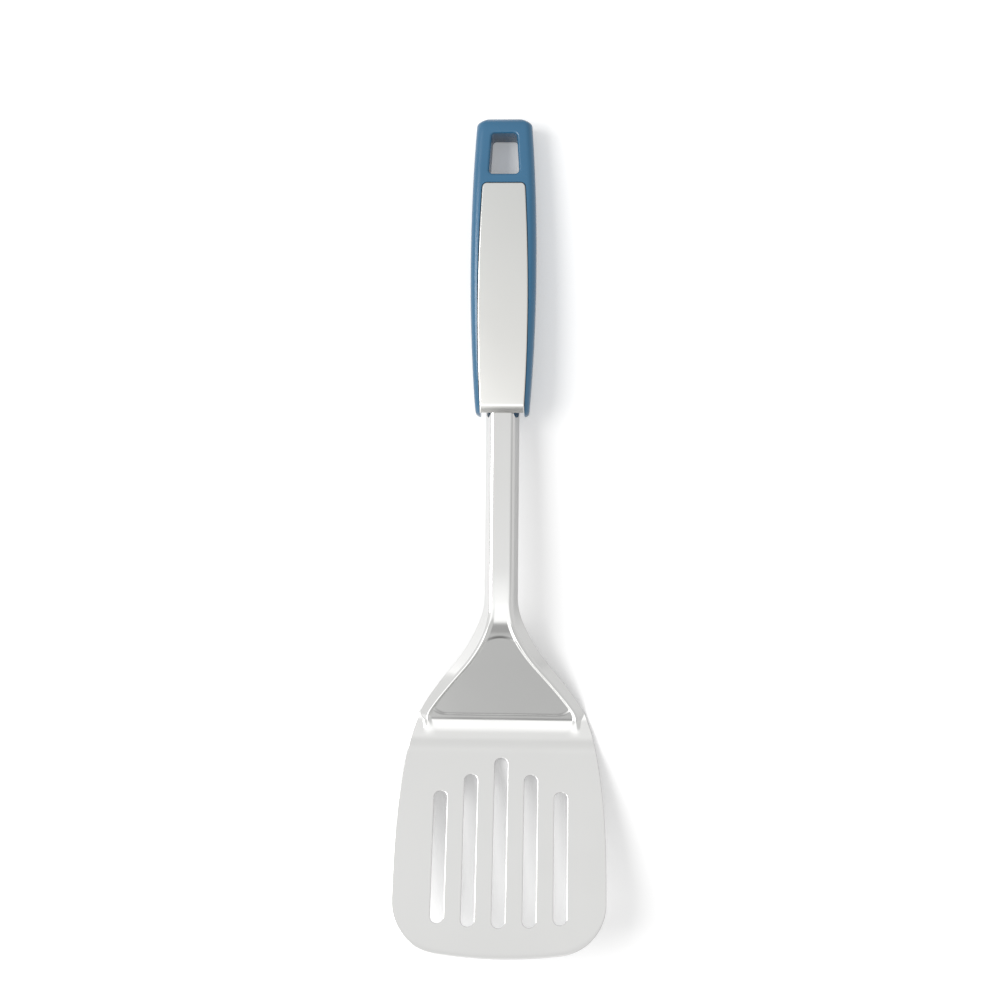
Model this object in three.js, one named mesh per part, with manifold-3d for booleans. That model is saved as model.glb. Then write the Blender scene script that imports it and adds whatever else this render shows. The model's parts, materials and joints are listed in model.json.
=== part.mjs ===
// Slotted turner: blade, neck and shank pressed from one stainless sheet, screwed into a moulded handle
// under a steel cover plate. Millimetres.
// The tool is drawn along its own axis: y = 0 at the handle's mouth, +Y to the butt, -Y to the tip,
// +Z to the front. At the end it is laid down on its back, on the butt and the heel, with +Z up.
import * as THREE from 'three';
import { mergeVertices } from 'three/addons/utils/BufferGeometryUtils.js';
import Module from 'manifold-3d';

const wasm = await Module();
wasm.setup();
const degrees = THREE.MathUtils.degToRad;

// Clearance between pieces that rest on, or sit in, each other
const FIT_GAP = 0.3;

// Sheet: the shank is a channel, open at the back, and its tang runs on into the handle
const SHEET = 1.2;
const SHANK_WIDTH = 14.2;
const SHANK_DEPTH = 8;
const SHANK_SHOULDER_RADIUS = 4.8;
const SHANK_LENGTH = 76;

// Neck: a convex bend, a straight slope and the concave heel bend
const NECK_BEND_RADIUS = 30;
const NECK_DROP = degrees(31);
const NECK_SLOPE_LENGTH = 45;
const NECK_MID_WIDTH = 41.2;
const NECK_MID_REACH = 35;
const NECK_FLARE = 0.74;
const NECK_SHOULDER_RADIUS = 3.4;
const NECK_WALL = 0.4;
const RUN_OUT_LENGTH = 8;
const HEEL_RADIUS = 11;
const HEEL_WIDTH = 80;
const HEEL_FLARE = 0.22;

// Sunk panel of the neck, inside the bead that runs along its sides
const BEAD_HEIGHT = 0.9;
const BEAD_STEP = 1.5;
const ARCH_REACH = 18.1;
const ARCH_RADIUS = 12;

// Blade
const BLADE_RISE = degrees(16.5);
const BLADE_LENGTH = 90.6;
const BLADE_WIDTH = 90.4;
const WIDEST_TO_TIP = 30.6;
const CORNER_RADIUS = 21.5;
const TIP_RADIUS = 208;
const RIM = 1.6;

// Drain slots
const SLOT_COUNT = 5;
const SLOT_WIDTH = 5.6;
const SLOT_PITCH = 12.9;
const SLOT_REACH = 7.4;
const SLOT_STAGGER = 7.2;
const SLOT_TIP_MARGIN = 12.4;

// Handle body
const HANDLE_LENGTH = 126.8;
const HANDLE_WIDTH = 27.6;
const HANDLE_WIDEST = 63;
const BUTT_WIDTH = 23.2;
const MOUTH_WIDTH = 22.4;
const HANDLE_CROWN = 0.8;
const FRONT_EDGE_RADIUS = 3.6;
const BACK_EDGE_RADIUS = 4;
const BUTT_CORNER_RADIUS = 4.6;
const BUTT_EDGE_RADIUS = 3;
const BUTT_ARCH = 0.9;
const BUTT_ARCH_REACH = 32;
const LEG_TIP_RADIUS = 1.7;
const MOUTH_NOTCH = 2.4;
const BACK_WALL = 3.7;

// Hang hole
const BUTT_WALL = 7.9;
const HOLE_LENGTH = 17.3;
const HOLE_START_WIDTH = 12.6;
const HOLE_END_WIDTH = 10.8;
const HOLE_CORNER_RADIUS = 2.2;

// Cover plate
const COVER_SHEET = 0.6;
const COVER_PROUD = 0.4;
const COVER_DEPTH = 3.2;
const COVER_START = 1.6;
const COVER_FOLD = 2.3;
const COVER_TO_HOLE = 4;
const COVER_CORNER_RADIUS = 1.9;
const COVER_BEND_RADIUS = 0.8;
const BORDER_AT_MOUTH = 2.2;
const BORDER_AT_BUTT = 4.8;

// Screws and pads
const SCREW_MARGIN = 16;
const SCREW_RADIUS = 1.5;
const SCREW_LENGTH = 6.6;
const SCREW_HEAD_RADIUS = 2.9;
const SCREW_HEAD_HEIGHT = 1.9;
const PAD_WIDTH = 10.5;
const PAD_MARGIN = 3;
const UPPER_PAD_LENGTH = 18;
const UPPER_PAD_THICKNESS = 1;

// Fineness: steps along each stretch, and sides of what is round
const BEND_STEPS = 5;
const ARCH_STEPS = 2;
const SLOPE_STEPS = 5;
const RUN_OUT_STEPS = 4;
const HEEL_STEPS = 5;
const BLADE_STEPS = 6;
const TIP_CORNER_STEPS = 7;
const WEB_STEPS = 3;
const BEAD_STEPS = 2;
const SHOULDER_STEPS = 4;
const EDGE_STEPS = 4;
const LEG_TIP_STEPS = 3;
const BUTT_STEPS = 6;
const HANDLE_STEPS = 12;
const COVER_STEPS = 9;
const PAD_STEPS = 4;
const ARC_STEPS = 8;
const ROUND_SIDES = 20;
const LIE_ROUNDS = 6;

// Finishes
const FINISHES = {
  polishedSteel: { color: 0xd8d9d6, roughness: 0.15, metalness: 1 },
  brushedSteel: { color: 0xd4d3cf, roughness: 0.35, metalness: 1 },
  bluePlastic: { color: 0x4b7696, roughness: 0.45, metalness: 0 },
  zincSteel: { color: 0xb4b6b8, roughness: 0.4, metalness: 1 },
  foam: { color: 0x2c2d2f, roughness: 0.95, metalness: 0 },
};

// Places along the handle, from the mouth to the butt
const holeEnd = HANDLE_LENGTH - BUTT_WALL;
const holeStart = holeEnd - HOLE_LENGTH;
const coverEnd = holeStart - COVER_TO_HOLE;
const upperPadEnd = coverEnd - COVER_SHEET - PAD_MARGIN;
const upperPadStart = upperPadEnd - UPPER_PAD_LENGTH;
const tangLength = upperPadStart - PAD_MARGIN;
const screwPlaces = { lower: SCREW_MARGIN, upper: tangLength - SCREW_MARGIN };

// Levels through the handle: the shank's channel lies about z = 0
const shankFront = SHANK_DEPTH / 2;
const troughFloor = shankFront - SHANK_DEPTH - FIT_GAP;
const handleBack = troughFloor - BACK_WALL;
const handleFront = shankFront + FIT_GAP + COVER_DEPTH - COVER_PROUD + HANDLE_CROWN;
const handleDepth = handleFront - handleBack;

// Reaches along the sheet's front, from the mouth to the tip
const neckStart = SHANK_LENGTH;
const slopeStart = neckStart + NECK_BEND_RADIUS * NECK_DROP;
const heelStart = slopeStart + NECK_SLOPE_LENGTH;
const bladeStart = heelStart + HEEL_RADIUS * (NECK_DROP + BLADE_RISE);
const tip = bladeStart + BLADE_LENGTH;
const cornerInset = BLADE_WIDTH / 2 - CORNER_RADIUS;
const tipCentre = tip - TIP_RADIUS;
const cornerCentre = tipCentre + Math.sqrt((TIP_RADIUS - CORNER_RADIUS) ** 2 - cornerInset ** 2);
const cornerSweep = Math.PI / 2 - Math.asin(cornerInset / (TIP_RADIUS - CORNER_RADIUS));
const shankShoulder = Math.min(SHANK_SHOULDER_RADIUS, SHANK_WIDTH / 2 - BEAD_STEP - SHEET / 2);
const cutDepth = 4 * SHEET;

function clamp01(value) {
  return Math.min(1, Math.max(0, value));
}

function smoothstep(value) {
  const share = clamp01(value);
  return share * share * (3 - 2 * share);
}

function spread(from, to, steps) {
  return Array.from({ length: steps }, (_, step) => from + ((to - from) * (step + 1)) / steps);
}

function blend(from, to, share) {
  return from + (to - from) * share;
}

function hermite(from, to, reach) {
  const span = to.reach - from.reach;
  const t = (reach - from.reach) / span;
  const rise = 3 * t * t - 2 * t * t * t;
  const leave = t * (1 - t) * (1 - t) * span;
  const arrive = t * t * (t - 1) * span;
  return blend(from.half, to.half, rise) + leave * from.flare + arrive * to.flare;
}

function solid(geometry) {
  const bare = geometry.clone();
  bare.deleteAttribute('normal');
  bare.deleteAttribute('uv');
  const merged = mergeVertices(bare);
  const vertProperties = Float32Array.from(merged.attributes.position.array);
  const triVerts = Uint32Array.from(merged.index.array);
  return new wasm.Manifold(new wasm.Mesh({ numProp: 3, vertProperties, triVerts }));
}

function geometryOf(body) {
  const mesh = body.getMesh();
  const geometry = new THREE.BufferGeometry();
  geometry.setAttribute('position', new THREE.BufferAttribute(mesh.vertProperties, 3));
  geometry.setIndex(new THREE.BufferAttribute(mesh.triVerts, 1));
  geometry.computeVertexNormals();
  return geometry;
}

function indexedGeometry(points, triangles) {
  const geometry = new THREE.BufferGeometry();
  geometry.setFromPoints(points);
  geometry.setIndex(triangles);
  return geometry;
}

// Centre line of the sheet's front: place and tilt at a reach from the mouth
function spine(reach) {
  if (reach <= neckStart) {
    return { y: -reach, z: shankFront, tilt: 0 };
  }
  if (reach <= slopeStart) {
    const angle = (reach - neckStart) / NECK_BEND_RADIUS;
    const y = -neckStart - NECK_BEND_RADIUS * Math.sin(angle);
    return { y, z: shankFront - NECK_BEND_RADIUS * (1 - Math.cos(angle)), tilt: -angle };
  }
  if (reach <= heelStart) {
    const from = spine(slopeStart);
    const run = reach - slopeStart;
    return { y: from.y - run * Math.cos(NECK_DROP), z: from.z - run * Math.sin(NECK_DROP), tilt: -NECK_DROP };
  }
  if (reach <= bladeStart) {
    const from = spine(heelStart);
    const tilt = (reach - heelStart) / HEEL_RADIUS - NECK_DROP;
    const y = from.y - HEEL_RADIUS * (Math.sin(NECK_DROP) + Math.sin(tilt));
    return { y, z: from.z + HEEL_RADIUS * (Math.cos(NECK_DROP) - Math.cos(tilt)), tilt };
  }
  const from = spine(bladeStart);
  const run = reach - bladeStart;
  return { y: from.y - run * Math.cos(BLADE_RISE), z: from.z + run * Math.sin(BLADE_RISE), tilt: BLADE_RISE };
}

function onSheet(reach, x, height) {
  const { y, z, tilt } = spine(reach);
  return new THREE.Vector3(x, y + height * Math.sin(tilt), z + height * Math.cos(tilt));
}

// Half the sheet's width at a reach, up to the blade's corners
const outlineKnots = [
  { reach: neckStart, half: SHANK_WIDTH / 2, flare: 0 },
  { reach: neckStart + NECK_MID_REACH, half: NECK_MID_WIDTH / 2, flare: NECK_FLARE },
  { reach: bladeStart, half: HEEL_WIDTH / 2, flare: HEEL_FLARE },
  { reach: tip - WIDEST_TO_TIP, half: BLADE_WIDTH / 2, flare: 0 },
];

function outlineHalf(reach) {
  if (reach <= neckStart) {
    return SHANK_WIDTH / 2;
  }
  const next = outlineKnots.findIndex((knot) => reach <= knot.reach);
  return next < 0 ? BLADE_WIDTH / 2 : hermite(outlineKnots[next - 1], outlineKnots[next], reach);
}

// Right half of a row of the sheet: its front points, each with the angle at which the back is offset
function halfSection(reach, half) {
  const neckShare = clamp01((reach - neckStart) / (heelStart - neckStart));
  const flat = smoothstep((reach - heelStart + RUN_OUT_LENGTH) / RUN_OUT_LENGTH);
  const radius = blend(shankShoulder, NECK_SHOULDER_RADIUS, neckShare);
  const depth = blend(SHANK_DEPTH, NECK_SHOULDER_RADIUS + NECK_WALL, neckShare);
  const beadEdge = half - blend(radius, RIM, flat);
  const webEdge = beadEdge - BEAD_STEP;
  const points = [];
  const sunk = (x) => {
    const arch = neckStart + ARCH_REACH + (x * x) / (2 * ARCH_RADIUS);
    return -BEAD_HEIGHT * smoothstep((reach - arch) / BEAD_STEP) * (1 - flat);
  };
  for (let step = 0; step <= WEB_STEPS; step++) {
    const x = (webEdge * step) / WEB_STEPS;
    points.push({ x, height: sunk(x), turn: 0 });
  }
  for (let step = 1; step <= BEAD_STEPS; step++) {
    const share = step / BEAD_STEPS;
    const height = sunk(webEdge) * (1 - smoothstep(share));
    points.push({ x: webEdge + BEAD_STEP * share, height, turn: 0 });
  }
  for (let step = 1; step <= SHOULDER_STEPS + 1; step++) {
    const share = step / (SHOULDER_STEPS + 1);
    const turn = Math.min(1, step / SHOULDER_STEPS) * (Math.PI / 2);
    const foldedX = half - radius + radius * Math.sin(turn);
    const foldedHeight = step > SHOULDER_STEPS ? -depth : radius * (Math.cos(turn) - 1);
    const x = blend(foldedX, half - RIM * (1 - share), flat);
    points.push({ x, height: foldedHeight * (1 - flat), turn: turn * (1 - flat) });
  }
  return points;
}

function sheetRow(reachAt, half, sectionReach) {
  const right = halfSection(sectionReach, half);
  const left = right.slice(1).reverse().map(({ x, height, turn }) => ({ x: -x, height, turn: -turn }));
  const row = { front: [], back: [] };
  for (const { x, height, turn } of [...left, ...right]) {
    const reach = reachAt(x);
    row.front.push(onSheet(reach, x, height));
    row.back.push(onSheet(reach, x - SHEET * Math.sin(turn), height - SHEET * Math.cos(turn)));
  }
  return row;
}

function sheetRows() {
  const archEnd = neckStart + ARCH_REACH + BEAD_STEP;
  const runOutStart = heelStart - RUN_OUT_LENGTH;
  const straight = [
    -tangLength,
    0,
    neckStart,
    ...spread(neckStart, slopeStart, BEND_STEPS),
    ...spread(slopeStart, archEnd, ARCH_STEPS),
    ...spread(archEnd, runOutStart, SLOPE_STEPS),
    ...spread(runOutStart, heelStart, RUN_OUT_STEPS),
    ...spread(heelStart, bladeStart, HEEL_STEPS),
    ...spread(bladeStart, cornerCentre, BLADE_STEPS),
  ];
  const rows = straight.map((reach) => sheetRow(() => reach, outlineHalf(reach), reach));
  for (const angle of spread(0, cornerSweep, TIP_CORNER_STEPS)) {
    const half = cornerInset + CORNER_RADIUS * Math.cos(angle);
    const edge = cornerCentre + CORNER_RADIUS * Math.sin(angle);
    const middle = blend(cornerCentre, tip, Math.sin(angle) / Math.sin(cornerSweep));
    rows.push(sheetRow((x) => edge + (middle - edge) * (1 - (x / half) ** 2), half, tip));
  }
  return rows;
}

// Closed sheet from rows of front and back points
function sheetGeometry(rows) {
  const width = rows[0].front.length;
  const points = rows.flatMap((row) => [...row.front, ...row.back]);
  const front = (row, column) => row * 2 * width + column;
  const back = (row, column) => front(row, column) + width;
  const triangles = [];
  const quad = (a, b, c, d) => triangles.push(a, b, c, a, c, d);
  const last = width - 1;
  for (let row = 0; row + 1 < rows.length; row++) {
    for (let column = 0; column < last; column++) {
      quad(front(row, column), front(row + 1, column), front(row + 1, column + 1), front(row, column + 1));
      quad(back(row, column), back(row, column + 1), back(row + 1, column + 1), back(row + 1, column));
    }
    quad(front(row, last), front(row + 1, last), back(row + 1, last), back(row, last));
    quad(front(row, 0), back(row, 0), back(row + 1, 0), front(row + 1, 0));
  }
  const end = rows.length - 1;
  for (let column = 0; column < last; column++) {
    quad(front(0, column), front(0, column + 1), back(0, column + 1), back(0, column));
    quad(front(end, column), back(end, column), back(end, column + 1), front(end, column + 1));
  }
  return indexedGeometry(points, triangles);
}

// A slot's cutter, square to the blade
function slotCutter(offset) {
  const x = offset * SLOT_PITCH;
  const radius = SLOT_WIDTH / 2;
  const near = SLOT_REACH + Math.abs(offset) * SLOT_STAGGER;
  const tipHere = tipCentre + Math.sqrt(TIP_RADIUS ** 2 - x ** 2);
  const far = tipHere - bladeStart - SLOT_TIP_MARGIN;
  const shape = new THREE.Shape();
  shape.absarc(x, -near - radius, radius, 0, Math.PI, false);
  shape.absarc(x, radius - far, radius, Math.PI, 2 * Math.PI, false);
  shape.closePath();
  const options = { depth: cutDepth, bevelEnabled: false, curveSegments: ARC_STEPS };
  const cutter = new THREE.ExtrudeGeometry(shape, options);
  cutter.translate(0, 0, -(cutDepth + SHEET) / 2);
  const start = spine(bladeStart);
  cutter.rotateX(-BLADE_RISE);
  cutter.translate(0, start.y, start.z);
  return solid(cutter);
}

// A screw's hole at a place along the tang, from one level up
function screwCutter(y, bottom, length) {
  const radius = SCREW_RADIUS + FIT_GAP;
  const cutter = new THREE.CylinderGeometry(radius, radius, length, ROUND_SIDES);
  cutter.rotateX(Math.PI / 2);
  cutter.translate(0, y, bottom + length / 2);
  return solid(cutter);
}

function slottedBlade() {
  let blade = solid(sheetGeometry(sheetRows()));
  for (let slot = 0; slot < SLOT_COUNT; slot++) {
    blade = blade.subtract(slotCutter(slot - (SLOT_COUNT - 1) / 2));
  }
  for (const y of Object.values(screwPlaces)) {
    blade = blade.subtract(screwCutter(y, shankFront - 2 * SHEET, cutDepth));
  }
  return geometryOf(blade);
}

// Rounded rectangle across the tool; its corners leave some of each side straight
const LARGEST_ROUND = 0.98;

function section({ half, top, bottom, topRadius, bottomRadius }) {
  const most = LARGEST_ROUND * Math.min(half, (top - bottom) / 2);
  const upper = Math.min(topRadius, most);
  const lower = Math.min(bottomRadius, most);
  const corners = [
    [half - lower, bottom + lower, lower, -Math.PI / 2],
    [half - upper, top - upper, upper, 0],
    [upper - half, top - upper, upper, Math.PI / 2],
    [lower - half, bottom + lower, lower, Math.PI],
  ];
  return corners.flatMap(([x, z, radius, from]) =>
    [0, ...spread(0, Math.PI / 2, EDGE_STEPS)].map((turn) => ({
      x: x + radius * Math.cos(from + turn),
      z: z + radius * Math.sin(from + turn),
    })),
  );
}

// Closed loft along y through such sections, each with its y; bow draws points back along y
function loft(stations, bow = () => 0) {
  const rings = stations.map((station) =>
    section(station).map(({ x, z }) => new THREE.Vector3(x, station.y - bow(x, station.y), z)),
  );
  const count = rings[0].length;
  const points = rings.flat();
  const triangles = [];
  for (let ring = 0; ring + 1 < rings.length; ring++) {
    for (let corner = 0; corner < count; corner++) {
      const next = (corner + 1) % count;
      const here = ring * count;
      const there = here + count;
      triangles.push(here + corner, there + corner, there + next, here + corner, there + next, here + next);
    }
  }
  for (const [ring, flip] of [[0, false], [rings.length - 1, true]]) {
    const middle = points.length;
    const centre = new THREE.Vector3();
    rings[ring].forEach((point) => centre.addScaledVector(point, 1 / count));
    points.push(centre);
    for (let corner = 0; corner < count; corner++) {
      const a = ring * count + corner;
      const b = ring * count + ((corner + 1) % count);
      triangles.push(...(flip ? [b, a, middle] : [a, b, middle]));
    }
  }
  return indexedGeometry(points, triangles);
}

function box(half, fromY, toY, bottom, top) {
  const block = new THREE.BoxGeometry(2 * half, toY - fromY, top - bottom);
  block.translate(0, (fromY + toY) / 2, (bottom + top) / 2);
  return block;
}

// Handle profile
function handleHalf(y) {
  const end = y > HANDLE_WIDEST ? HANDLE_LENGTH : 0;
  const endWidth = y > HANDLE_WIDEST ? BUTT_WIDTH : MOUTH_WIDTH;
  const share = (y - HANDLE_WIDEST) / (end - HANDLE_WIDEST);
  return (HANDLE_WIDTH - (HANDLE_WIDTH - endWidth) * share * share) / 2;
}

function handleTop(y) {
  const share = (y - HANDLE_LENGTH / 2) / (HANDLE_LENGTH / 2);
  return handleFront - HANDLE_CROWN * share * share;
}

function roundInset(radius, distance) {
  return distance >= radius ? 0 : radius - Math.sqrt(Math.max(0, radius ** 2 - (radius - distance) ** 2));
}

function endSteps(radius, steps) {
  return [0, ...spread(0, Math.PI / 2, steps)].map((angle) => radius * (1 - Math.cos(angle)));
}

function handleStation(y) {
  const fromButt = HANDLE_LENGTH - y;
  const tipInset = roundInset(LEG_TIP_RADIUS, y);
  const edgeInset = roundInset(BUTT_EDGE_RADIUS, fromButt) + tipInset;
  return {
    y,
    half: handleHalf(y) - roundInset(BUTT_CORNER_RADIUS, fromButt) - tipInset,
    top: handleTop(y) - edgeInset,
    bottom: handleBack + edgeInset,
    topRadius: FRONT_EDGE_RADIUS,
    bottomRadius: BACK_EDGE_RADIUS,
  };
}

function handleShell() {
  const low = endSteps(LEG_TIP_RADIUS, LEG_TIP_STEPS);
  const high = endSteps(BUTT_CORNER_RADIUS, BUTT_STEPS).map((step) => HANDLE_LENGTH - step).reverse();
  const places = [...low, ...spread(LEG_TIP_RADIUS, high[0], HANDLE_STEPS), ...high.slice(1)];
  const bow = (x, y) => {
    const share = smoothstep(1 - (HANDLE_LENGTH - y) / BUTT_ARCH_REACH);
    return BUTT_ARCH * share * ((2 * x) / BUTT_WIDTH) ** 2;
  };
  return solid(loft(places.map(handleStation), bow));
}

function holeCutter() {
  const shape = new THREE.Shape();
  const startHalf = HOLE_START_WIDTH / 2;
  const endHalf = HOLE_END_WIDTH / 2;
  const radius = HOLE_CORNER_RADIUS;
  const lean = ((startHalf - endHalf) * radius) / HOLE_LENGTH;
  shape.moveTo(radius - startHalf, holeStart);
  shape.lineTo(startHalf - radius, holeStart);
  shape.quadraticCurveTo(startHalf, holeStart, startHalf - lean, holeStart + radius);
  shape.lineTo(endHalf + lean, holeEnd - radius);
  shape.quadraticCurveTo(endHalf, holeEnd, endHalf - radius, holeEnd);
  shape.lineTo(radius - endHalf, holeEnd);
  shape.quadraticCurveTo(-endHalf, holeEnd, -endHalf - lean, holeEnd - radius);
  shape.lineTo(lean - startHalf, holeStart + radius);
  shape.quadraticCurveTo(-startHalf, holeStart, radius - startHalf, holeStart);
  const options = { depth: 3 * handleDepth, bevelEnabled: false, curveSegments: ARC_STEPS };
  const cutter = new THREE.ExtrudeGeometry(shape, options);
  cutter.translate(0, 0, handleBack - handleDepth);
  return solid(cutter);
}

// Cover plate profile: the lower end folds down from the fold line
const coverFoldLine = COVER_START + COVER_FOLD;
const coverFoldAngle = Math.atan2(COVER_DEPTH - COVER_SHEET, COVER_FOLD);

function coverHalf(y) {
  return handleHalf(y) - blend(BORDER_AT_MOUTH, BORDER_AT_BUTT, y / HANDLE_LENGTH);
}

function coverTop(y) {
  return handleTop(y) + COVER_PROUD;
}

const coverBottom = coverTop(COVER_START) - COVER_DEPTH;

// Stations of the cover's body, grown by some amount on its sides, top end and front
function coverStations(grow, from, bottom) {
  const cornerRadius = COVER_CORNER_RADIUS + grow;
  const end = coverEnd + grow;
  const high = endSteps(cornerRadius, EDGE_STEPS).map((step) => end - step).reverse();
  const places = [from, ...spread(from, high[0], COVER_STEPS), ...high.slice(1)];
  return places.map((y) => ({
    y,
    half: coverHalf(y) + grow - roundInset(cornerRadius, end - y),
    top: coverTop(y) + grow - roundInset(COVER_BEND_RADIUS, end - y),
    bottom,
    topRadius: COVER_BEND_RADIUS + grow,
    bottomRadius: 0,
  }));
}

// The same with the folded lower end, which drops by some amount
function foldedCover(grow, bottom, drop) {
  const stations = coverStations(grow, coverFoldLine - grow * Math.tan(coverFoldAngle / 2), bottom);
  const run = drop / Math.tan(coverFoldAngle);
  const low = { ...stations[0], y: stations[0].y - run, top: stations[0].top - drop };
  return solid(loft([low, ...stations]));
}

function coverPlate() {
  const outer = foldedCover(0, coverBottom, COVER_DEPTH - COVER_SHEET);
  const inner = foldedCover(-COVER_SHEET, coverBottom - COVER_DEPTH, COVER_DEPTH);
  return geometryOf(outer.subtract(inner));
}

// Handle body: shell, less the cover's recess, the tang's trough, the mouth and the hang hole,
// with the tongue inside the tang's channel and the seat of the upper pad
const troughHalf = SHANK_WIDTH / 2 + FIT_GAP;
const tongueHalf = SHANK_WIDTH / 2 - SHEET - FIT_GAP;
const tongueTop = shankFront - SHEET - FIT_GAP;
const recessFloor = coverBottom - FIT_GAP;
const upperSeatTop = coverTop(upperPadEnd) - COVER_SHEET - UPPER_PAD_THICKNESS - 2 * FIT_GAP;

function tongue() {
  const profile = { half: tongueHalf, top: tongueTop, bottom: troughFloor - SHEET };
  const radii = { topRadius: shankShoulder - SHEET, bottomRadius: 0 };
  const ends = [MOUTH_NOTCH + SHEET, tangLength - PAD_MARGIN];
  return solid(loft(ends.map((y) => ({ y, ...profile, ...radii }))));
}

function handleBody() {
  const above = handleFront + handleDepth;
  const below = handleBack - handleDepth;
  const past = -LEG_TIP_RADIUS;
  const recess = coverStations(FIT_GAP, past, recessFloor).map((station) => ({ ...station, top: above }));
  const seat = box(PAD_WIDTH / 2, upperPadStart, upperPadEnd, recessFloor - SHEET, upperSeatTop);
  const trough = box(troughHalf, past, tangLength + FIT_GAP, troughFloor, above);
  const mouth = box(coverHalf(0) + FIT_GAP, past, MOUTH_NOTCH, below, above);
  let body = handleShell().subtract(solid(loft(recess))).add(solid(seat));
  body = body.subtract(solid(trough)).subtract(solid(mouth)).add(tongue()).subtract(holeCutter());
  for (const y of Object.values(screwPlaces)) {
    body = body.subtract(screwCutter(y, shankFront - SCREW_LENGTH - FIT_GAP, handleDepth));
  }
  return geometryOf(body);
}

function tangScrew(y) {
  const chamfer = SCREW_HEAD_HEIGHT / 3;
  const profile = [
    new THREE.Vector2(0, -SCREW_LENGTH),
    new THREE.Vector2(SCREW_RADIUS / 2, -SCREW_LENGTH),
    new THREE.Vector2(SCREW_RADIUS, SCREW_RADIUS - SCREW_LENGTH),
    new THREE.Vector2(SCREW_RADIUS, 0),
    new THREE.Vector2(SCREW_HEAD_RADIUS, 0),
    new THREE.Vector2(SCREW_HEAD_RADIUS, SCREW_HEAD_HEIGHT - chamfer),
    new THREE.Vector2(SCREW_HEAD_RADIUS - chamfer, SCREW_HEAD_HEIGHT),
    new THREE.Vector2(0, SCREW_HEAD_HEIGHT),
  ];
  const screw = new THREE.LatheGeometry(profile, ROUND_SIDES);
  screw.rotateX(Math.PI / 2);
  screw.translate(0, y, shankFront + FIT_GAP);
  return geometryOf(solid(screw));
}

// Foam pad between a flat seat and the cover's underside
function coverPad(from, to, seat) {
  return loft([from, ...spread(from, to, PAD_STEPS)].map((y) => ({
    y,
    half: PAD_WIDTH / 2,
    top: coverTop(y) - COVER_SHEET - FIT_GAP,
    bottom: seat + FIT_GAP,
    topRadius: 0,
    bottomRadius: 0,
  })));
}

function piece(name, geometry, finish) {
  const mesh = new THREE.Mesh(geometry, new THREE.MeshStandardMaterial(FINISHES[finish]));
  mesh.name = name;
  return mesh;
}

const screwRoom = SCREW_HEAD_RADIUS + PAD_MARGIN;
const lowerPad = coverPad(screwPlaces.lower + screwRoom, screwPlaces.upper - screwRoom, shankFront);
const upperPad = coverPad(upperPadStart, upperPadEnd, upperSeatTop);
const tool = new THREE.Group();
tool.add(
  piece('slotted_blade', slottedBlade(), 'polishedSteel'),
  piece('handle_body', handleBody(), 'bluePlastic'),
  piece('cover_plate', coverPlate(), 'brushedSteel'),
  piece('cover_pad_lower', lowerPad, 'foam'),
  piece('cover_pad_upper', upperPad, 'foam'),
);
for (const [place, y] of Object.entries(screwPlaces)) {
  tool.add(piece(`tang_screw_${place}`, tangScrew(y), 'zincSteel'));
}

// Lay the tool on its back: turn it until the butt and the heel touch the same level, then put the
// middle of its length over the origin
function layDown(group) {
  const points = group.children.flatMap((mesh) => {
    const position = mesh.geometry.attributes.position;
    const corner = (_, index) => new THREE.Vector3().fromBufferAttribute(position, index);
    return Array.from({ length: position.count }, corner);
  });
  const level = (point, angle) => point.y * Math.sin(angle) + point.z * Math.cos(angle);
  const lowest = (side, angle) =>
    points.reduce((low, point) =>
      side * point.y > 0 && (side * low.y <= 0 || level(point, angle) < level(low, angle)) ? point : low,
    );
  let angle = 0;
  for (let round = 0; round < LIE_ROUNDS; round++) {
    const butt = lowest(1, angle);
    const heel = lowest(-1, angle);
    angle = Math.atan2(heel.z - butt.z, butt.y - heel.y);
  }
  group.rotation.x = angle;
  group.updateMatrixWorld(true);
  const bounds = new THREE.Box3().setFromObject(group, true);
  group.position.set(0, -(bounds.min.y + bounds.max.y) / 2, -bounds.min.z);
}

layDown(tool);
const part = new THREE.Group();
part.add(tool);

export default part;
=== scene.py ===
"""Slotted turner: blade, neck and shank pressed from one sheet, in a moulded handle under a cover plate.

The tool is drawn along its own axis, in metres: y = 0 at the handle's mouth, +Y to the butt, -Y to the tip
and +Z to the front. Each finished mesh is then laid where the frame has the tool.
"""

import json
import math
from functools import partial

import bmesh
import bpy
from bpy.props import FloatProperty, FloatVectorProperty, IntProperty, PointerProperty
from mathutils import Matrix, Vector


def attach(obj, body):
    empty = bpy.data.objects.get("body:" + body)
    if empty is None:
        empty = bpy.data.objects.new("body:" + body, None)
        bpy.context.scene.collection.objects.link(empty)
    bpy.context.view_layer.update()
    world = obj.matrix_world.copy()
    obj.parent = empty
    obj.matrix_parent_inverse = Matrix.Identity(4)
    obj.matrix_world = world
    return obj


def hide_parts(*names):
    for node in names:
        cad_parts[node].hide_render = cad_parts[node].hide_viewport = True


bl_info = {
    "name": "Slotted turner",
    "version": (1, 0, 0),
    "blender": (4, 5, 0),
    "location": "3D View > Sidebar > Turner",
    "description": "Builds a slotted kitchen turner around its packed frame",
    "category": "Add Mesh",
}

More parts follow.
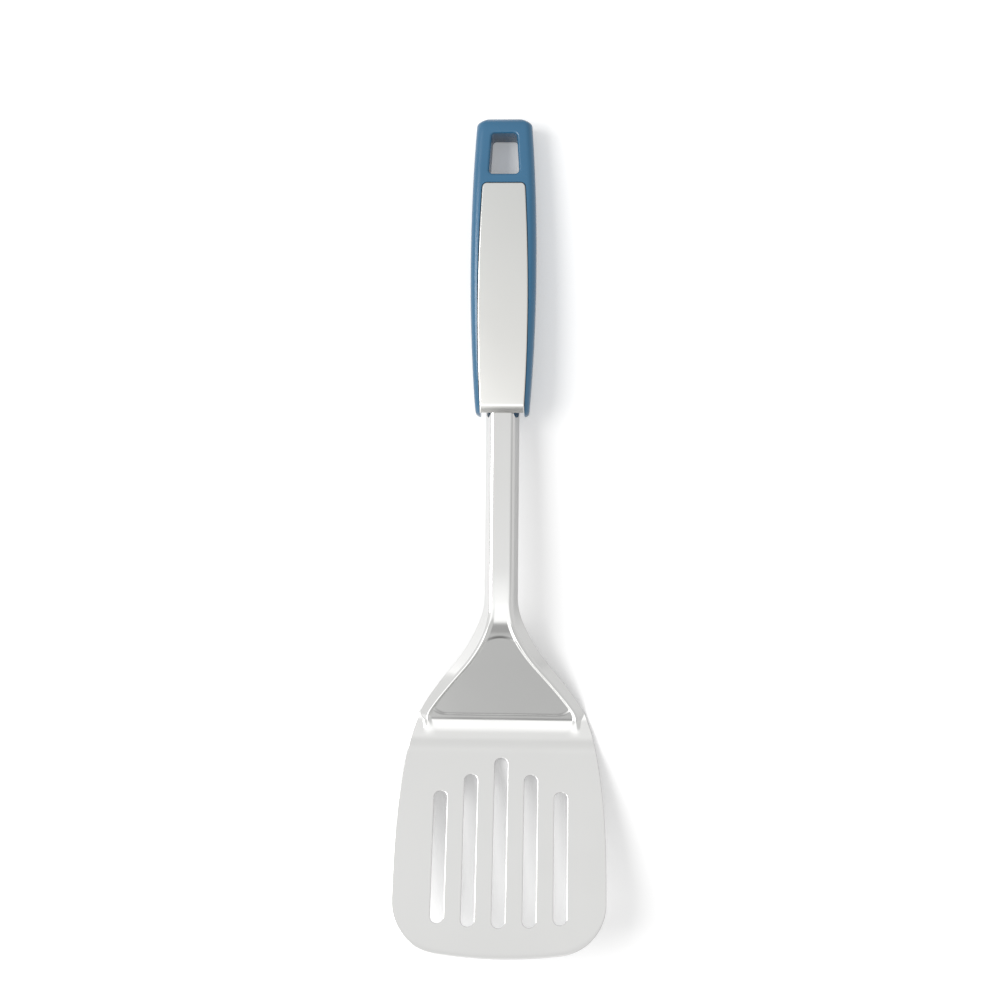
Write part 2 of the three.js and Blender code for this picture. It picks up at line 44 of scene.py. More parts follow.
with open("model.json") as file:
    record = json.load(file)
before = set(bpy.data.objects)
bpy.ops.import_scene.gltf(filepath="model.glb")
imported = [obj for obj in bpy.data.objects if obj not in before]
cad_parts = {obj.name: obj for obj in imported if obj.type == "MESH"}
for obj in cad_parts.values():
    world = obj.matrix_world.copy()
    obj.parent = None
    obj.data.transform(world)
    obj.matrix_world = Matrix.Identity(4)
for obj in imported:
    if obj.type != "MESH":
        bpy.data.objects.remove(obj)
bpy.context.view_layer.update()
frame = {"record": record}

# Fineness across the sheet, and how much the points of its web crowd towards the bead
WEB_STEPS = 22
WEB_CROWDING = 1.7
BEAD_STEPS = 8
SHOULDER_STEPS = 12
FILLET_STEPS = 6
RIM_STEPS = 4
ROLL_STEPS = 5
# Fineness along the sheet, from the tang's end to the flat blade, then round the blade's edge and its slots
ROW_STEPS = (2, 3, 16, 30, 12, 36, 20, 36, 40, 24)
SIDE_STEPS = 40
CORNER_STEPS = 30
TIP_STEPS = 20
SLOT_ARC_STEPS = 12
# Radius of a slot's ends as a part of its width, short of a half so that its loop keeps every point
SLOT_END = 0.49
# Fineness of the handle and what it holds
EDGE_STEPS = 8
END_STEPS = 12
LEG_STEPS = 6
SHELL_STEPS = 48
COVER_STEPS = 40
PAD_EDGE_STEPS = 4
PAD_STEPS = 12
ROUND_SIDES = 32
# Most of a section's half depth or half width that its rounded corners may take up
MOST_ROUNDED = 0.98
# Points as near as this, in metres, become one in the slotted plate and in a whole piece
MERGE_DISTANCE = 0.00002
WELD_DISTANCE = 0.000002
# Faces that meet at a smaller angle are shaded as one surface
SMOOTH_ANGLE = math.radians(32)


def setting(kind, description, default, **more):
    """A property that still lacks its name."""
    return kind, {"description": description, "default": default, **more}


def length(description, millimetres):
    """A size that is written in millimetres and kept in metres."""
    return setting(FloatProperty, description, millimetres / 1000, unit="LENGTH", precision=5)


def angle(description, degrees):
    return setting(FloatProperty, description, math.radians(degrees), subtype="ANGLE")


def share(description, value):
    return setting(FloatProperty, description, value, subtype="FACTOR", min=0, max=1)


def number(description, value):
    return setting(FloatProperty, description, value)


def colour(description, *rgb):
    return setting(FloatVectorProperty, description, rgb, size=3, subtype="COLOR", min=0, max=1)


def named(group):
    """Makes the properties of a group, each named after its attribute."""
    for attribute, (kind, details) in group.__annotations__.items():
        name = attribute.replace("_", " ").capitalize()
        group.__annotations__[attribute] = kind(name=name, **details)
    return group


@named
class TurnerSheet(bpy.types.PropertyGroup):
    """Sizes of the pressed sheet: tang, shank, neck and blade."""

    sheet: length("Thickness of the stainless sheet", 1.2)
    rim_radius: length("Rounding of the sheet's cut edges", 0.3)
    rim_guard: length("Narrow flat beside that rounding", 0.04)
    shank_width: length("Width of the channel", 14.2)
    shank_depth: length("Depth of the channel", 8)
    shank_shoulder: length("Rounding along the channel's front edges", 2.4)
    neck_shoulder: length("The same at the heel", 1.3)
    shank_skirt: angle("Slope of the channel's sides at the shank", 76)
    shank_length: length("Straight length between handle and neck", 76)
    tang_length: length("Length of the channel inside the handle", 73)
    lead_in: length("How far before the neck the shank begins to bend", 12.46)
    lead_radius: length("Radius in which the shank begins to bend", 245)
    lead_turn: angle("Turn of that bend", 3.5)
    bend_radius: length("Radius of the convex bend below the shank", 30)
    neck_drop: angle("Slope of the neck", 31)
    slope_length: length("Straight length of the neck", 42.69)
    neck_mid_width: length("Width of the neck where it is measured", 41.2)
    neck_mid_reach: length("Where that width is, from the neck's start", 35)
    neck_flare: number("Growth of the half width there", 0.74)
    neck_skirt: angle("Slope of the neck's sides at the heel", 38)
    neck_depth: length("Depth of the neck's sides at the heel", 2.3)
    ridge_width: length("Width of the heel between the blade's upper corners", 64.2)
    ridge_step: length("Least depth that the sides' points are laid out for", 1.2)
    corner_turn: length("Width of the blade's upper corners where they lie flat", 0.8)
    corner_tilt: angle("How far the heel has run on where those corners leave it", 3)
    corner_fillet: length("Rounding between the sides and the blade's upper corners", 1)
    heel_start_radius: length("Radius in which the neck runs into the heel", 8)
    heel_start_turn: angle("Turn of that bend", 12)
    heel_radius: length("Radius of the concave bend at the heel", 16)
    heel_turn: angle("Turn of that bend", 18.5)
    heel_run_radius: length("Radius in which the heel runs on into the blade", 30)
    heel_width: length("Width of the heel where it is measured", 80)
    heel_to_tip: length("Where that width is, from the tip", 90.6)
    heel_flare: number("Growth of the half width there", 0.22)
    bead_height: length("Height of the beads along the neck's sides", 0.5)
    bead_start: length("Where the beads begin, before the neck", 10)
    bead_growth: length("Length in which they reach their height", 45)
    panel_sunk: length("How far the neck's panel is sunk below the shank's front", 0.2)
    panel_scoop: length("Length in which the front falls to the panel's arch", 2.2)
    panel_corner: length("Corner radius of the panel's lower end", 4)
    bead_step: length("Width of the step round the panel", 1.6)
    heel_step: length("Width of the same at the heel, where it fades", 5)
    heel_fade: length("Length in which it fades there", 9)
    arch_reach: length("Where the panel's arch is, from the neck's start", 18.7)
    arch_corner: length("Corner radius of the panel's upper end", 6.3)
    panel_end: length("Where the panel ends, before the heel", 2.1)
    panel_fade: length("Length in which the panel rises there", 1.5)
    blade_rise: angle("Slope of the blade against the shank", 16.5)
    blade_length: length("Flat length from the heel to the tip", 85.11)
    blade_width: length("Largest width of the blade", 90.4)
    widest_to_tip: length("Where the blade is widest, from the tip", 30.6)
    corner_radius: length("Radius of the tip's corners", 21.5)
    tip_radius: length("Radius of the tip's edge", 208)
    tip_roll: length("Width of the strip that bends down along the tip", 1.9)
    tip_fall: length("How far it bends down", 0.12)
    slots: setting(IntProperty, "Number of drain slots", 5)
    slot_width: length("Width of a drain slot", 5.6)
    slot_pitch: length("Distance from slot to slot", 12.9)
    slot_reach: length("Start of the middle slot on the blade", 1.91)
    slot_stagger: length("How much later each next slot starts", 7.2)
    slot_margin: length("Distance from the slots to the tip", 12.4)


@named
class TurnerHandle(bpy.types.PropertyGroup):
    """Sizes of the moulded handle, its cover plate, screws and pads."""

    gap: length("Clearance between pieces", 0.3)
    length: length("Length of the handle", 126)
    width: length("Largest width", 27.6)
    widest: length("Where it is widest, from the mouth", 63)
    butt_width: length("Width at the butt", 23.2)
    mouth_width: length("Width at the mouth", 22.4)
    back_wall: length("Wall behind the tang", 3.7)
    crown: length("How far the front is arched along its length", 0.8)
    front_edge: length("Rounding of the front edges", 3.6)
    back_edge: length("Rounding of the back edges", 4)
    butt_corner: length("Corner radius of the butt, seen from the front", 1.8)
    butt_edge: length("Rounding of the butt, seen from the side", 3)
    butt_arch: length("How far the butt's end is arched", 1.7)
    butt_arch_reach: length("Length in which that arch fades", 32)
    leg_tip: length("Rounding of the two legs at the mouth", 1.7)
    leg_front: length("Rounding of their front, seen from the side", 7)
    mouth_notch: length("How far the back stops short of the legs", 2.4)
    butt_wall: length("Distance from the hang hole to the butt", 7.1)
    hole_length: length("Length of the hang hole", 17.3)
    hole_start_width: length("Width of the hang hole at its lower end", 12.6)
    hole_end_width: length("Width of the hang hole at its upper end", 10.8)
    hole_corner: length("Corner radius of the hang hole", 1.6)
    hole_rim: length("Rounding of the hang hole's edges", 1.1)
    cover_sheet: length("Thickness of the cover plate", 0.6)
    cover_proud: length("How far the cover stands above the handle", 0.4)
    cover_depth: length("Depth of the cover's folded sides", 3.2)
    cover_start: length("Lower end of the cover, from the mouth", 1.0)
    cover_fold: length("Length of the folded lower end", 2.3)
    cover_fold_radius: length("Bend radius of that fold", 3)
    cover_to_hole: length("Handle between the cover and the hang hole", 4)
    cover_corner: length("Corner radius of the cover's upper end", 1.9)
    cover_bend: length("Bend radius along the cover's sides", 0.5)
    border_at_mouth: length("Handle beside the cover at the mouth", 2.2)
    border_at_butt: length("The same, carried on to the butt", 4.8)
    tongue_width: length("Width of the tongue inside the tang", 8.6)
    tongue_edge: length("Rounding of the tongue's upper edges", 2.4)
    screw_margin: length("Distance from the tang's ends to its screws", 16)
    screw_radius: length("Radius of a screw's shank", 1.5)
    screw_length: length("Length of a screw under its head", 6.6)
    screw_head_radius: length("Radius of a screw's head", 2.9)
    screw_head_height: length("Height of a screw's head", 1.9)
    pad_width: length("Width of the foam pads", 10.5)
    pad_margin: length("Room round the foam pads", 3)
    pad_edge: length("Rounding of the pads' edges", 0.5)
    upper_pad_length: length("Length of the upper pad", 18)
    upper_pad_thickness: length("Thickness of the upper pad", 1)
    mount_place: length("Where the frame's back mount is, from the mouth", 60)


@named
class TurnerFinish(bpy.types.PropertyGroup):
    """Colours of the finishes, and the painted shade that darkens the cover plate towards the butt."""

    blade_steel: colour("Polished stainless steel", 0.77, 0.77, 0.76)
    blade_haze: colour("The same where polishing has left it hazy", 0.74, 0.74, 0.73)
    cover_steel: colour("Brushed stainless steel", 0.84, 0.835, 0.81)
    # Painted shade: the colour that the cover plate is darkened to towards the butt, where its reflection is
    # darker
    cover_dull: colour("The same where it has dulled, towards the butt", 0.66, 0.665, 0.65)
    plastic: colour("Satin moulded plastic", 0.016, 0.122, 0.242)
    plastic_worn: colour("The same where hands have rubbed it", 0.022, 0.131, 0.254)
    zinc: colour("Zinc plating", 0.46, 0.47, 0.48)
    zinc_dull: colour("The same where it has dulled", 0.36, 0.37, 0.38)
    foam: colour("Matt black foam", 0.025, 0.026, 0.028)
    foam_pore: colour("The foam's pores", 0.010, 0.010, 0.011)


@named
class TurnerStage(bpy.types.PropertyGroup):
    """Camera, floor and light."""

    camera_place: setting(
        FloatVectorProperty, "Where the camera is", (0.0261, 0.02943, 0.640), subtype="TRANSLATION"
    )
    camera_pitch: angle("Turn of the camera about X", -1.411)
    camera_yaw: angle("Turn of the camera about Y", 2.469)
    camera_roll: angle("Turn of the camera about its own axis", 0.371)
    lens: number("Focal length on a 36 mm sensor, in mm", 53.22)
    floor_size: length("Side of the floor", 6000)
    floor_glow: share("Part of the floor's white that isn't shaded", 0.22)
    steel_glow: share("The same where the steel shows the floor", 0.12)
    # Painted shade: the floor's right half is darkened to this brightness where the steel shows it
    steel_dim: share("Brightness of the floor where the steel shows it on the right", 0.66)
    fill: number("Light from all round", 0.55)
    lean: number("How much more of it comes from the right", 0.7)
    left: number("Light from the soft light on the left", 0.5)


def settings(group):
    """One of the scene's groups of settings."""
    return getattr(bpy.context.scene, f"turner_{group}")


# Small sums


def clamp(value):
    return min(1.0, max(0.0, value))


def smoothstep(value):
    t = clamp(value)
    return t * t * (3 - 2 * t)


def blend(start, end, part):
    return start + (end - start) * part


def spread(start, end, steps):
    """Evenly spaced values after start, up to end."""
    return [blend(start, end, (step + 1) / steps) for step in range(steps)]


def round_inset(radius, distance):
    """How far a rounded end draws a surface in, at a distance from the end."""
    if distance >= radius:
        return 0.0
    return radius - math.sqrt(max(0.0, radius**2 - (radius - distance) ** 2))


def rounded_corner(first, second, radius):
    """Distance inside a corner of two edges that is rounded by a radius, from the distances to the edges."""
    if max(first, second) >= radius or radius == 0:
        return min(first, second)
    return radius - math.hypot(radius - first, radius - second)


def soft_least(first, second, reach):
    """The lesser of two values, with a smooth change from one to the other."""
    near = max(0.0, 1 - abs(first - second) / reach)
    return min(first, second) - near * near * reach / 4


def arc_steps(radius, turn, steps):
    """An arc as equal chords, each with its length and its bend; a very short chord keeps some length."""
    bend = turn / steps
    return [(max(2 * radius * math.sin(abs(bend) / 2), MERGE_DISTANCE), bend)] * steps


def end_steps(radius, steps):
    """Distances from an end at which its rounding turns by even steps."""
    return [radius * (1 - math.cos(turn)) for turn in [0.0, *spread(0, math.pi / 2, steps)]]


# Meshes and objects


def laid_down():
    """Matrix that lays the tool where the frame has it, from the mount on the handle's back."""
    handle = HandleForm()
    mount = next(m for m in frame["record"]["mounts"] if m["name"] == "handle_back")
    front = -Vector(mount["axis"])
    side = Vector((1, 0, 0))
    along = front.cross(side)
    matrix = Matrix((side, along, front)).transposed().to_4x4()
    matrix.translation = Vector(mount["pos_m"]) - along * handle.s.mount_place - front * handle.back
    return matrix


def new_object(name, data):
    made = bpy.data.objects.new(name, data)
    bpy.context.scene.collection.objects.link(made)
    return made


def mesh_object(name, points, edges=(), faces=()):
    mesh = bpy.data.meshes.new(name)
    mesh.from_pydata(points, edges, faces)
    mesh.update()
    return new_object(name, mesh)


def closed_object(name, shape):
    """An object of a shape that is welded, faces outwards and has to be closed."""
    bmesh.ops.remove_doubles(shape, verts=shape.verts, dist=WELD_DISTANCE)
    bmesh.ops.recalc_face_normals(shape, faces=shape.faces)
    loose = sum(1 for edge in shape.edges if not edge.is_manifold)
    if loose:
        raise RuntimeError(f"{name} has {loose} edges that aren't closed")
    mesh = bpy.data.meshes.new(name)
    shape.to_mesh(mesh)
    shape.free()
    return new_object(name, mesh)


def bridge(shape, first, second, closed):
    """Quads between two rows of vertices."""
    count = len(first)
    for here in range(count if closed else count - 1):
        there = (here + 1) % count
        shape.faces.new((first[here], first[there], second[there], second[here]))


def evaluated_mesh(host):
    """A plain mesh of what the object's modifiers make; the modifiers are then removed."""
    graph = bpy.context.evaluated_depsgraph_get()
    mesh = bpy.data.meshes.new_from_object(host.evaluated_get(graph))
    host.modifiers.clear()
    return mesh


def drop(host):
    mesh = host.data
    bpy.data.objects.remove(host)
    bpy.data.meshes.remove(mesh)


def carve(body, cuts):
    """Applies (operation, tool) in order to the body, and removes the tools."""
    for operation, tool in cuts:
        modifier = body.modifiers.new("Carve", "BOOLEAN")
        modifier.operation = operation
        modifier.object = tool
        modifier.solver = "EXACT"
    old = body.data
    body.data = evaluated_mesh(body)
    bpy.data.meshes.remove(old)
    for _, tool in cuts:
        drop(tool)
    return body


def finish_piece(piece, material, slot, *nodes):
    """Lays a piece drawn along the tool's axis in its place and ties it to the frame."""
    mesh = piece.data
    mesh.transform(laid_down())
    mesh.shade_smooth()
    mesh.set_sharp_from_angle(angle=SMOOTH_ANGLE)
    mesh.materials.clear()
    mesh.materials.append(material)
    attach(piece, "root")
    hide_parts(*nodes)


# Nodes


def node(tree, kind, inputs=None, **details):
    """Adds a node. An input that is given a socket is linked, and one that is given a value is set."""
    made = tree.nodes.new(kind)
    for name, value in details.items():
        setattr(made, name, value)
    for key, value in (inputs or {}).items():
        if isinstance(value, bpy.types.NodeSocket):
            tree.links.new(value, made.inputs[key])
        else:
            made.inputs[key].default_value = value
    return made


def geometry(tree, kind, inputs=None, **details):
    """First output of a new geometry node."""
    return node(tree, f"GeometryNode{kind}", inputs, **details).outputs[0]


def shading(tree, kind, inputs=None, **details):
    """First output of a new shader node."""
    return node(tree, f"ShaderNode{kind}", inputs, **details).outputs[0]


def maths(tree, operation, *values):
    return shading(tree, "Math", dict(enumerate(values)), operation=operation)


# Sockets of a Mix node, which share their names and so go by number: two inputs and the output
MIX_SOCKETS = {"FLOAT": (2, 3, 0), "RGBA": (6, 7, 2)}


def mix(tree, part, first, second, kind="FLOAT"):
    """A value or colour between two others."""
    one, other, output = MIX_SOCKETS[kind]
    inputs = {0: part, one: first, other: second}
    return node(tree, "ShaderNodeMix", inputs, data_type=kind).outputs[output]


def vector(tree, x, y, z):
    return shading(tree, "CombineXYZ", {"X": x, "Y": y, "Z": z})


def axes(tree, place):
    """Outputs X, Y and Z of a vector."""
    return node(tree, "ShaderNodeSeparateXYZ", {0: place}).outputs


def object_place(tree):
    return node(tree, "ShaderNodeTexCoord").outputs["Object"]


def joined(tree, *parts):
    """Some geometries as one."""
    made = tree.nodes.new("GeometryNodeJoinGeometry")
    for part in parts:
        tree.links.new(part, made.inputs[0])
    return made.outputs[0]


def points_in_row(tree, count, start, step):
    line = {"Count": count, "Start Location": start, "Offset": step}
    return geometry(tree, "MeshLine", line, mode="OFFSET")


def end_tree(tree, made, material, result):
    """Ends a geometry tree with real meshes in their material."""
    real = geometry(tree, "RealizeInstances", {"Geometry": made})
    painted = geometry(tree, "SetMaterial", {"Geometry": real, "Material": material})
    tree.links.new(painted, result)


def new_tree(name, kind, inputs, outputs):
    """A node tree with named sockets, and its group input's and output's sockets."""
    tree = bpy.data.node_groups.new(name, kind)
    for direction, sockets in (("INPUT", inputs), ("OUTPUT", outputs)):
        for label, socket_kind in sockets.items():
            tree.interface.new_socket(label, in_out=direction, socket_type=f"NodeSocket{socket_kind}")
    source = tree.nodes.new("NodeGroupInput").outputs
    result = tree.nodes.new("NodeGroupOutput").inputs
    return tree, source, result


def run_tree(host, tree, values):
    """Puts a geometry tree on an object, sets its inputs by their identifiers and returns a plain mesh."""
    modifier = host.modifiers.new(tree.name, "NODES")
    modifier.node_group = tree
    sockets = {item.name: item for item in tree.interface.items_tree if item.in_out == "INPUT"}
    for label, value in values.items():
        modifier[sockets[label].identifier] = value
    return evaluated_mesh(host)


# The pressed sheet


class SheetForm:
    """Line, outline and section of the sheet. A reach is a distance from the mouth, along its front."""

    def __init__(self):
        self.s = s = settings("sheet")
        self.front = s.shank_depth / 2
        self.neck_start = s.shank_length
        run_turn = s.neck_drop + s.blade_rise - s.heel_start_turn - s.heel_turn
        parts = (
            (self.neck_start - s.lead_in, 0.0),
            (s.lead_radius * s.lead_turn, -1 / s.lead_radius),
            (s.bend_radius * (s.neck_drop - s.lead_turn), -1 / s.bend_radius),
            (s.slope_length, 0.0),
            (s.heel_start_radius * s.heel_start_turn, 1 / s.heel_start_radius),
            (s.heel_radius * s.heel_turn, 1 / s.heel_radius),
            (s.heel_run_radius * run_turn, 1 / s.heel_run_radius),
            (s.blade_length, 0.0),
        )
        self.path = []
        reach, place = 0.0, (0.0, self.front, 0.0)
        for run, bend in parts:
            self.path.append((reach, place, bend))
            place = self.onwards(place, run, bend)
            reach += run
        *_, self.heel_start, _, self.run_start, self.blade_start = (start for start, _, _ in self.path)
        self.tip = reach
        self.corner_reach = self.run_start + s.heel_run_radius * s.corner_tilt
        self.joint = self.blade_start + s.rim_guard
        self.corner_inset = s.blade_width / 2 - s.corner_radius
        swing = s.tip_radius - s.corner_radius
        self.tip_centre = self.tip - s.tip_radius
        self.corner_centre = self.tip_centre + math.sqrt(swing**2 - self.corner_inset**2)
        self.tip_lean = math.asin(self.corner_inset / swing)
        self.knots = [
            (self.neck_start, s.shank_width / 2, 0.0),
            (self.neck_start + s.neck_mid_reach, s.neck_mid_width / 2, s.neck_flare),
            (self.tip - s.heel_to_tip, s.heel_width / 2, s.heel_flare),
            (self.tip - s.widest_to_tip, s.blade_width / 2, 0.0),
        ]

    def onwards(self, place, run, bend):
        """Place and tilt further along a straight or bent part of the path."""
        y, z, tilt = place
        if not bend:
            return y - run * math.cos(tilt), z + run * math.sin(tilt), tilt
        end = tilt + run * bend
        return y - (math.sin(end) - math.sin(tilt)) / bend, z + (math.cos(tilt) - math.cos(end)) / bend, end

    def spine(self, reach):
        """Place (y, z) and tilt of the front's middle."""
        start, place, bend = [part for part in self.path if part[0] <= max(reach, 0)][-1]
        return self.onwards(place, reach - start, bend)

    def on_sheet(self, reach, x, height):
        y, z, tilt = self.spine(reach)
        return Vector((x, y + height * math.sin(tilt), z + height * math.cos(tilt)))

    def outline(self, reach):
        """Half width at a reach, and its growth, up to the blade's corners."""
        if reach <= self.neck_start:
            return self.s.shank_width / 2, 0.0
        for (start, half, flare), (end, next_half, next_flare) in zip(self.knots, self.knots[1:]):
            if reach <= end:
                span = end - start
                t = (reach - start) / span
                rise = blend(half, next_half, t * t * (3 - 2 * t))
                leave, arrive = t * (1 - t) ** 2 * span, t * t * (t - 1) * span
                steep = (next_half - half) * 6 * t * (1 - t) / span
                growth = steep + (1 - t) * (1 - 3 * t) * flare + t * (3 * t - 2) * next_flare
                return rise + leave * flare + arrive * next_flare, growth
        return self.s.blade_width / 2, 0.0

    def sunk(self, reach, x, edge, step):
        """Height against the beads: the front lies a little lower, and the neck's panel more."""
        s = self.s
        beads = s.bead_height * smoothstep((reach - self.neck_start + s.bead_start) / s.bead_growth)
        arch = rounded_corner(edge - x, reach - self.neck_start - s.arch_reach, s.arch_corner)
        scoop = s.panel_sunk * clamp(1 + arch / s.panel_scoop) ** 2
        lift = s.panel_corner * clamp(1 - (edge - x) / (2 * s.panel_corner)) ** 2
        end = smoothstep((reach - self.heel_start + s.panel_end + lift) / s.panel_fade)
        low = smoothstep((reach - self.heel_start) / s.heel_fade)
        return -smoothstep((edge - x) / step) * (beads * (1 - low) + scoop * (1 - end))

    def above_corners(self, reach):
        """Height of the front above the plane of the blade's upper corners."""
        if reach >= self.corner_reach:
            return 0.0
        y, z, tilt = self.spine(reach)
        corner_y, corner_z, corner_tilt = self.spine(self.corner_reach)
        up = (y - corner_y) * math.sin(corner_tilt) + (z - corner_z) * math.cos(corner_tilt)
        return up / math.cos(tilt - corner_tilt)

    def half_section(self, reach):
        """Right half of the section as (x, height): front outwards, rim round the edge, back inwards."""
        s = self.s
        half, _ = self.outline(reach)
        neck = clamp((reach - self.neck_start) / (self.heel_start - self.neck_start))
        depth = soft_least(blend(s.shank_depth, s.neck_depth, neck), self.above_corners(reach), s.ridge_step)
        slope = blend(s.shank_skirt, s.neck_skirt, neck)
        shoulder = blend(s.shank_shoulder, s.neck_shoulder, neck)
        drawn = max(depth, s.ridge_step)
        skirt = (drawn - shoulder * (1 - math.cos(slope))) / math.sin(slope)
        side = shoulder * math.sin(slope) + skirt * math.cos(slope)
        bead_edge = soft_least(half - side, s.ridge_width / 2, s.bead_step)
        flat = smoothstep((half - side - bead_edge) / s.corner_turn)
        step = blend(s.bead_step, s.heel_step, smoothstep((reach - self.heel_start) / s.heel_fade))
        web_edge = bead_edge - step
        edge_room = s.rim_radius + 2 * s.rim_guard
        across = [web_edge * (1 - (1 - part) ** WEB_CROWDING) for part in [0.0, *spread(0, 1, WEB_STEPS)]]
        across += spread(web_edge, bead_edge, BEAD_STEPS)
        front = [(x, self.sunk(reach, x, bead_edge, step), 0.0) for x in across]
        straight = skirt - edge_room * (1 - flat) - s.corner_fillet * math.tan(flat * slope / 2)
        path = [
            *arc_steps(shoulder, slope, SHOULDER_STEPS),
            (straight, 0.0),
            *arc_steps(s.corner_fillet, -flat * slope, FILLET_STEPS),
        ]
        x, height, turn = bead_edge, 0.0, 0.0
        for run, bend in path:
            x += run * math.cos(turn + bend / 2)
            height -= run * math.sin(turn + bend / 2)
            turn += bend
            front.append((x, height * depth / drawn, math.atan(math.tan(turn) * depth / drawn)))
        x, height, turn = front[-1]
        outwards = Vector((math.cos(turn), -math.sin(turn)))
        upwards = Vector((-outwards.y, outwards.x))
        edge = Vector((x, height)) + outwards * max(edge_room, (half - x) / outwards.x)
        rim = [edge + outwards * out + upwards * up for out, up in rim_profile(s)]
        back = [
            (x - s.sheet * math.sin(turn), height - s.sheet * math.cos(turn)) for x, height, turn in front
        ]
        return [(x, height) for x, height, _ in front], rim, back[::-1]

    def ring(self, reach):
        """Closed section from the front's middle to the right, round the back and up the left."""
        front, rim, back = self.half_section(reach)
        right = [*front, *rim, *back]
        left = [(-x, height) for x, height in right[-2:0:-1]]
        return [self.on_sheet(reach, x, height) for x, height in [*right, *left]]

    def blade_edge(self):
        """The blade's right edge from the joint to the middle of the tip: (x, reach), and the way out."""
        s = self.s
        points = []
        for reach in spread(self.joint, self.corner_centre, SIDE_STEPS):
            half, growth = self.outline(reach)
            points.append((Vector((half, reach)), Vector((1, -growth)).normalized()))
        corner = Vector((self.corner_inset, self.corner_centre))
        for turn in spread(0, math.pi / 2 - self.tip_lean, CORNER_STEPS):
            way = Vector((math.cos(turn), math.sin(turn)))
            points.append((corner + way * s.corner_radius, way))
        for lean in spread(self.tip_lean, 0, TIP_STEPS):
            way = Vector((math.sin(lean), math.cos(lean)))
            points.append((Vector((0, self.tip_centre)) + way * s.tip_radius, way))
        return points

    def rows(self):
        """Reaches of the rings from the tang's end to the joint with the flat blade."""
        s = self.s
        arch = self.neck_start + s.arch_reach
        ends = (
            -s.tang_length,
            0,
            self.neck_start - s.lead_in,
            self.neck_start,
            arch - s.panel_scoop,
            arch,
            arch + s.arch_corner,
            self.heel_start - s.panel_end - s.panel_corner,
            self.heel_start,
            self.run_start,
            self.blade_start,
        )
        rows = [ends[0]]
        for start, end, steps in zip(ends, ends[1:], ROW_STEPS):
            rows += spread(start, end, steps)
        return [*rows, self.joint]


def rim_profile(s, roll=0.0):
    """Section of a rounded sheet edge, from the front's guard to the back's: (outwards, upwards) of the edge.

    The tip's edge also rolls down a little, over a wider strip."""
    radius = s.rim_radius
    guard = -radius - s.rim_guard - roll * s.tip_roll
    parts = [step / ROLL_STEPS for step in range(ROLL_STEPS)]
    strip = [(blend(guard, -radius, part), -roll * s.tip_fall * part**2) for part in parts]
    turns = [0.0, *spread(0, math.pi / 2, RIM_STEPS)]
    arc = [(radius * (math.sin(turn) - 1), radius * (math.cos(turn) - 1)) for turn in turns]
    front = [(out, up - roll * s.tip_fall) for out, up in arc]
    back = [(out, -s.sheet - up) for out, up in reversed(arc)]
    return [*strip, *front, *back, (guard, -s.sheet)]


# Inputs of the slotted plate's tree, and the sizes that they take
PLATE_SIZES = {
    "Slots": "slots",
    "Width": "slot_width",
    "Pitch": "slot_pitch",
    "Reach": "slot_reach",
    "Stagger": "slot_stagger",
    "Tip Reach": "blade_length",
    "Tip Radius": "tip_radius",
    "Margin": "slot_margin",
    "Sheet": "sheet",
    "Rim": "rim_radius",
    "Guard": "rim_guard",
}


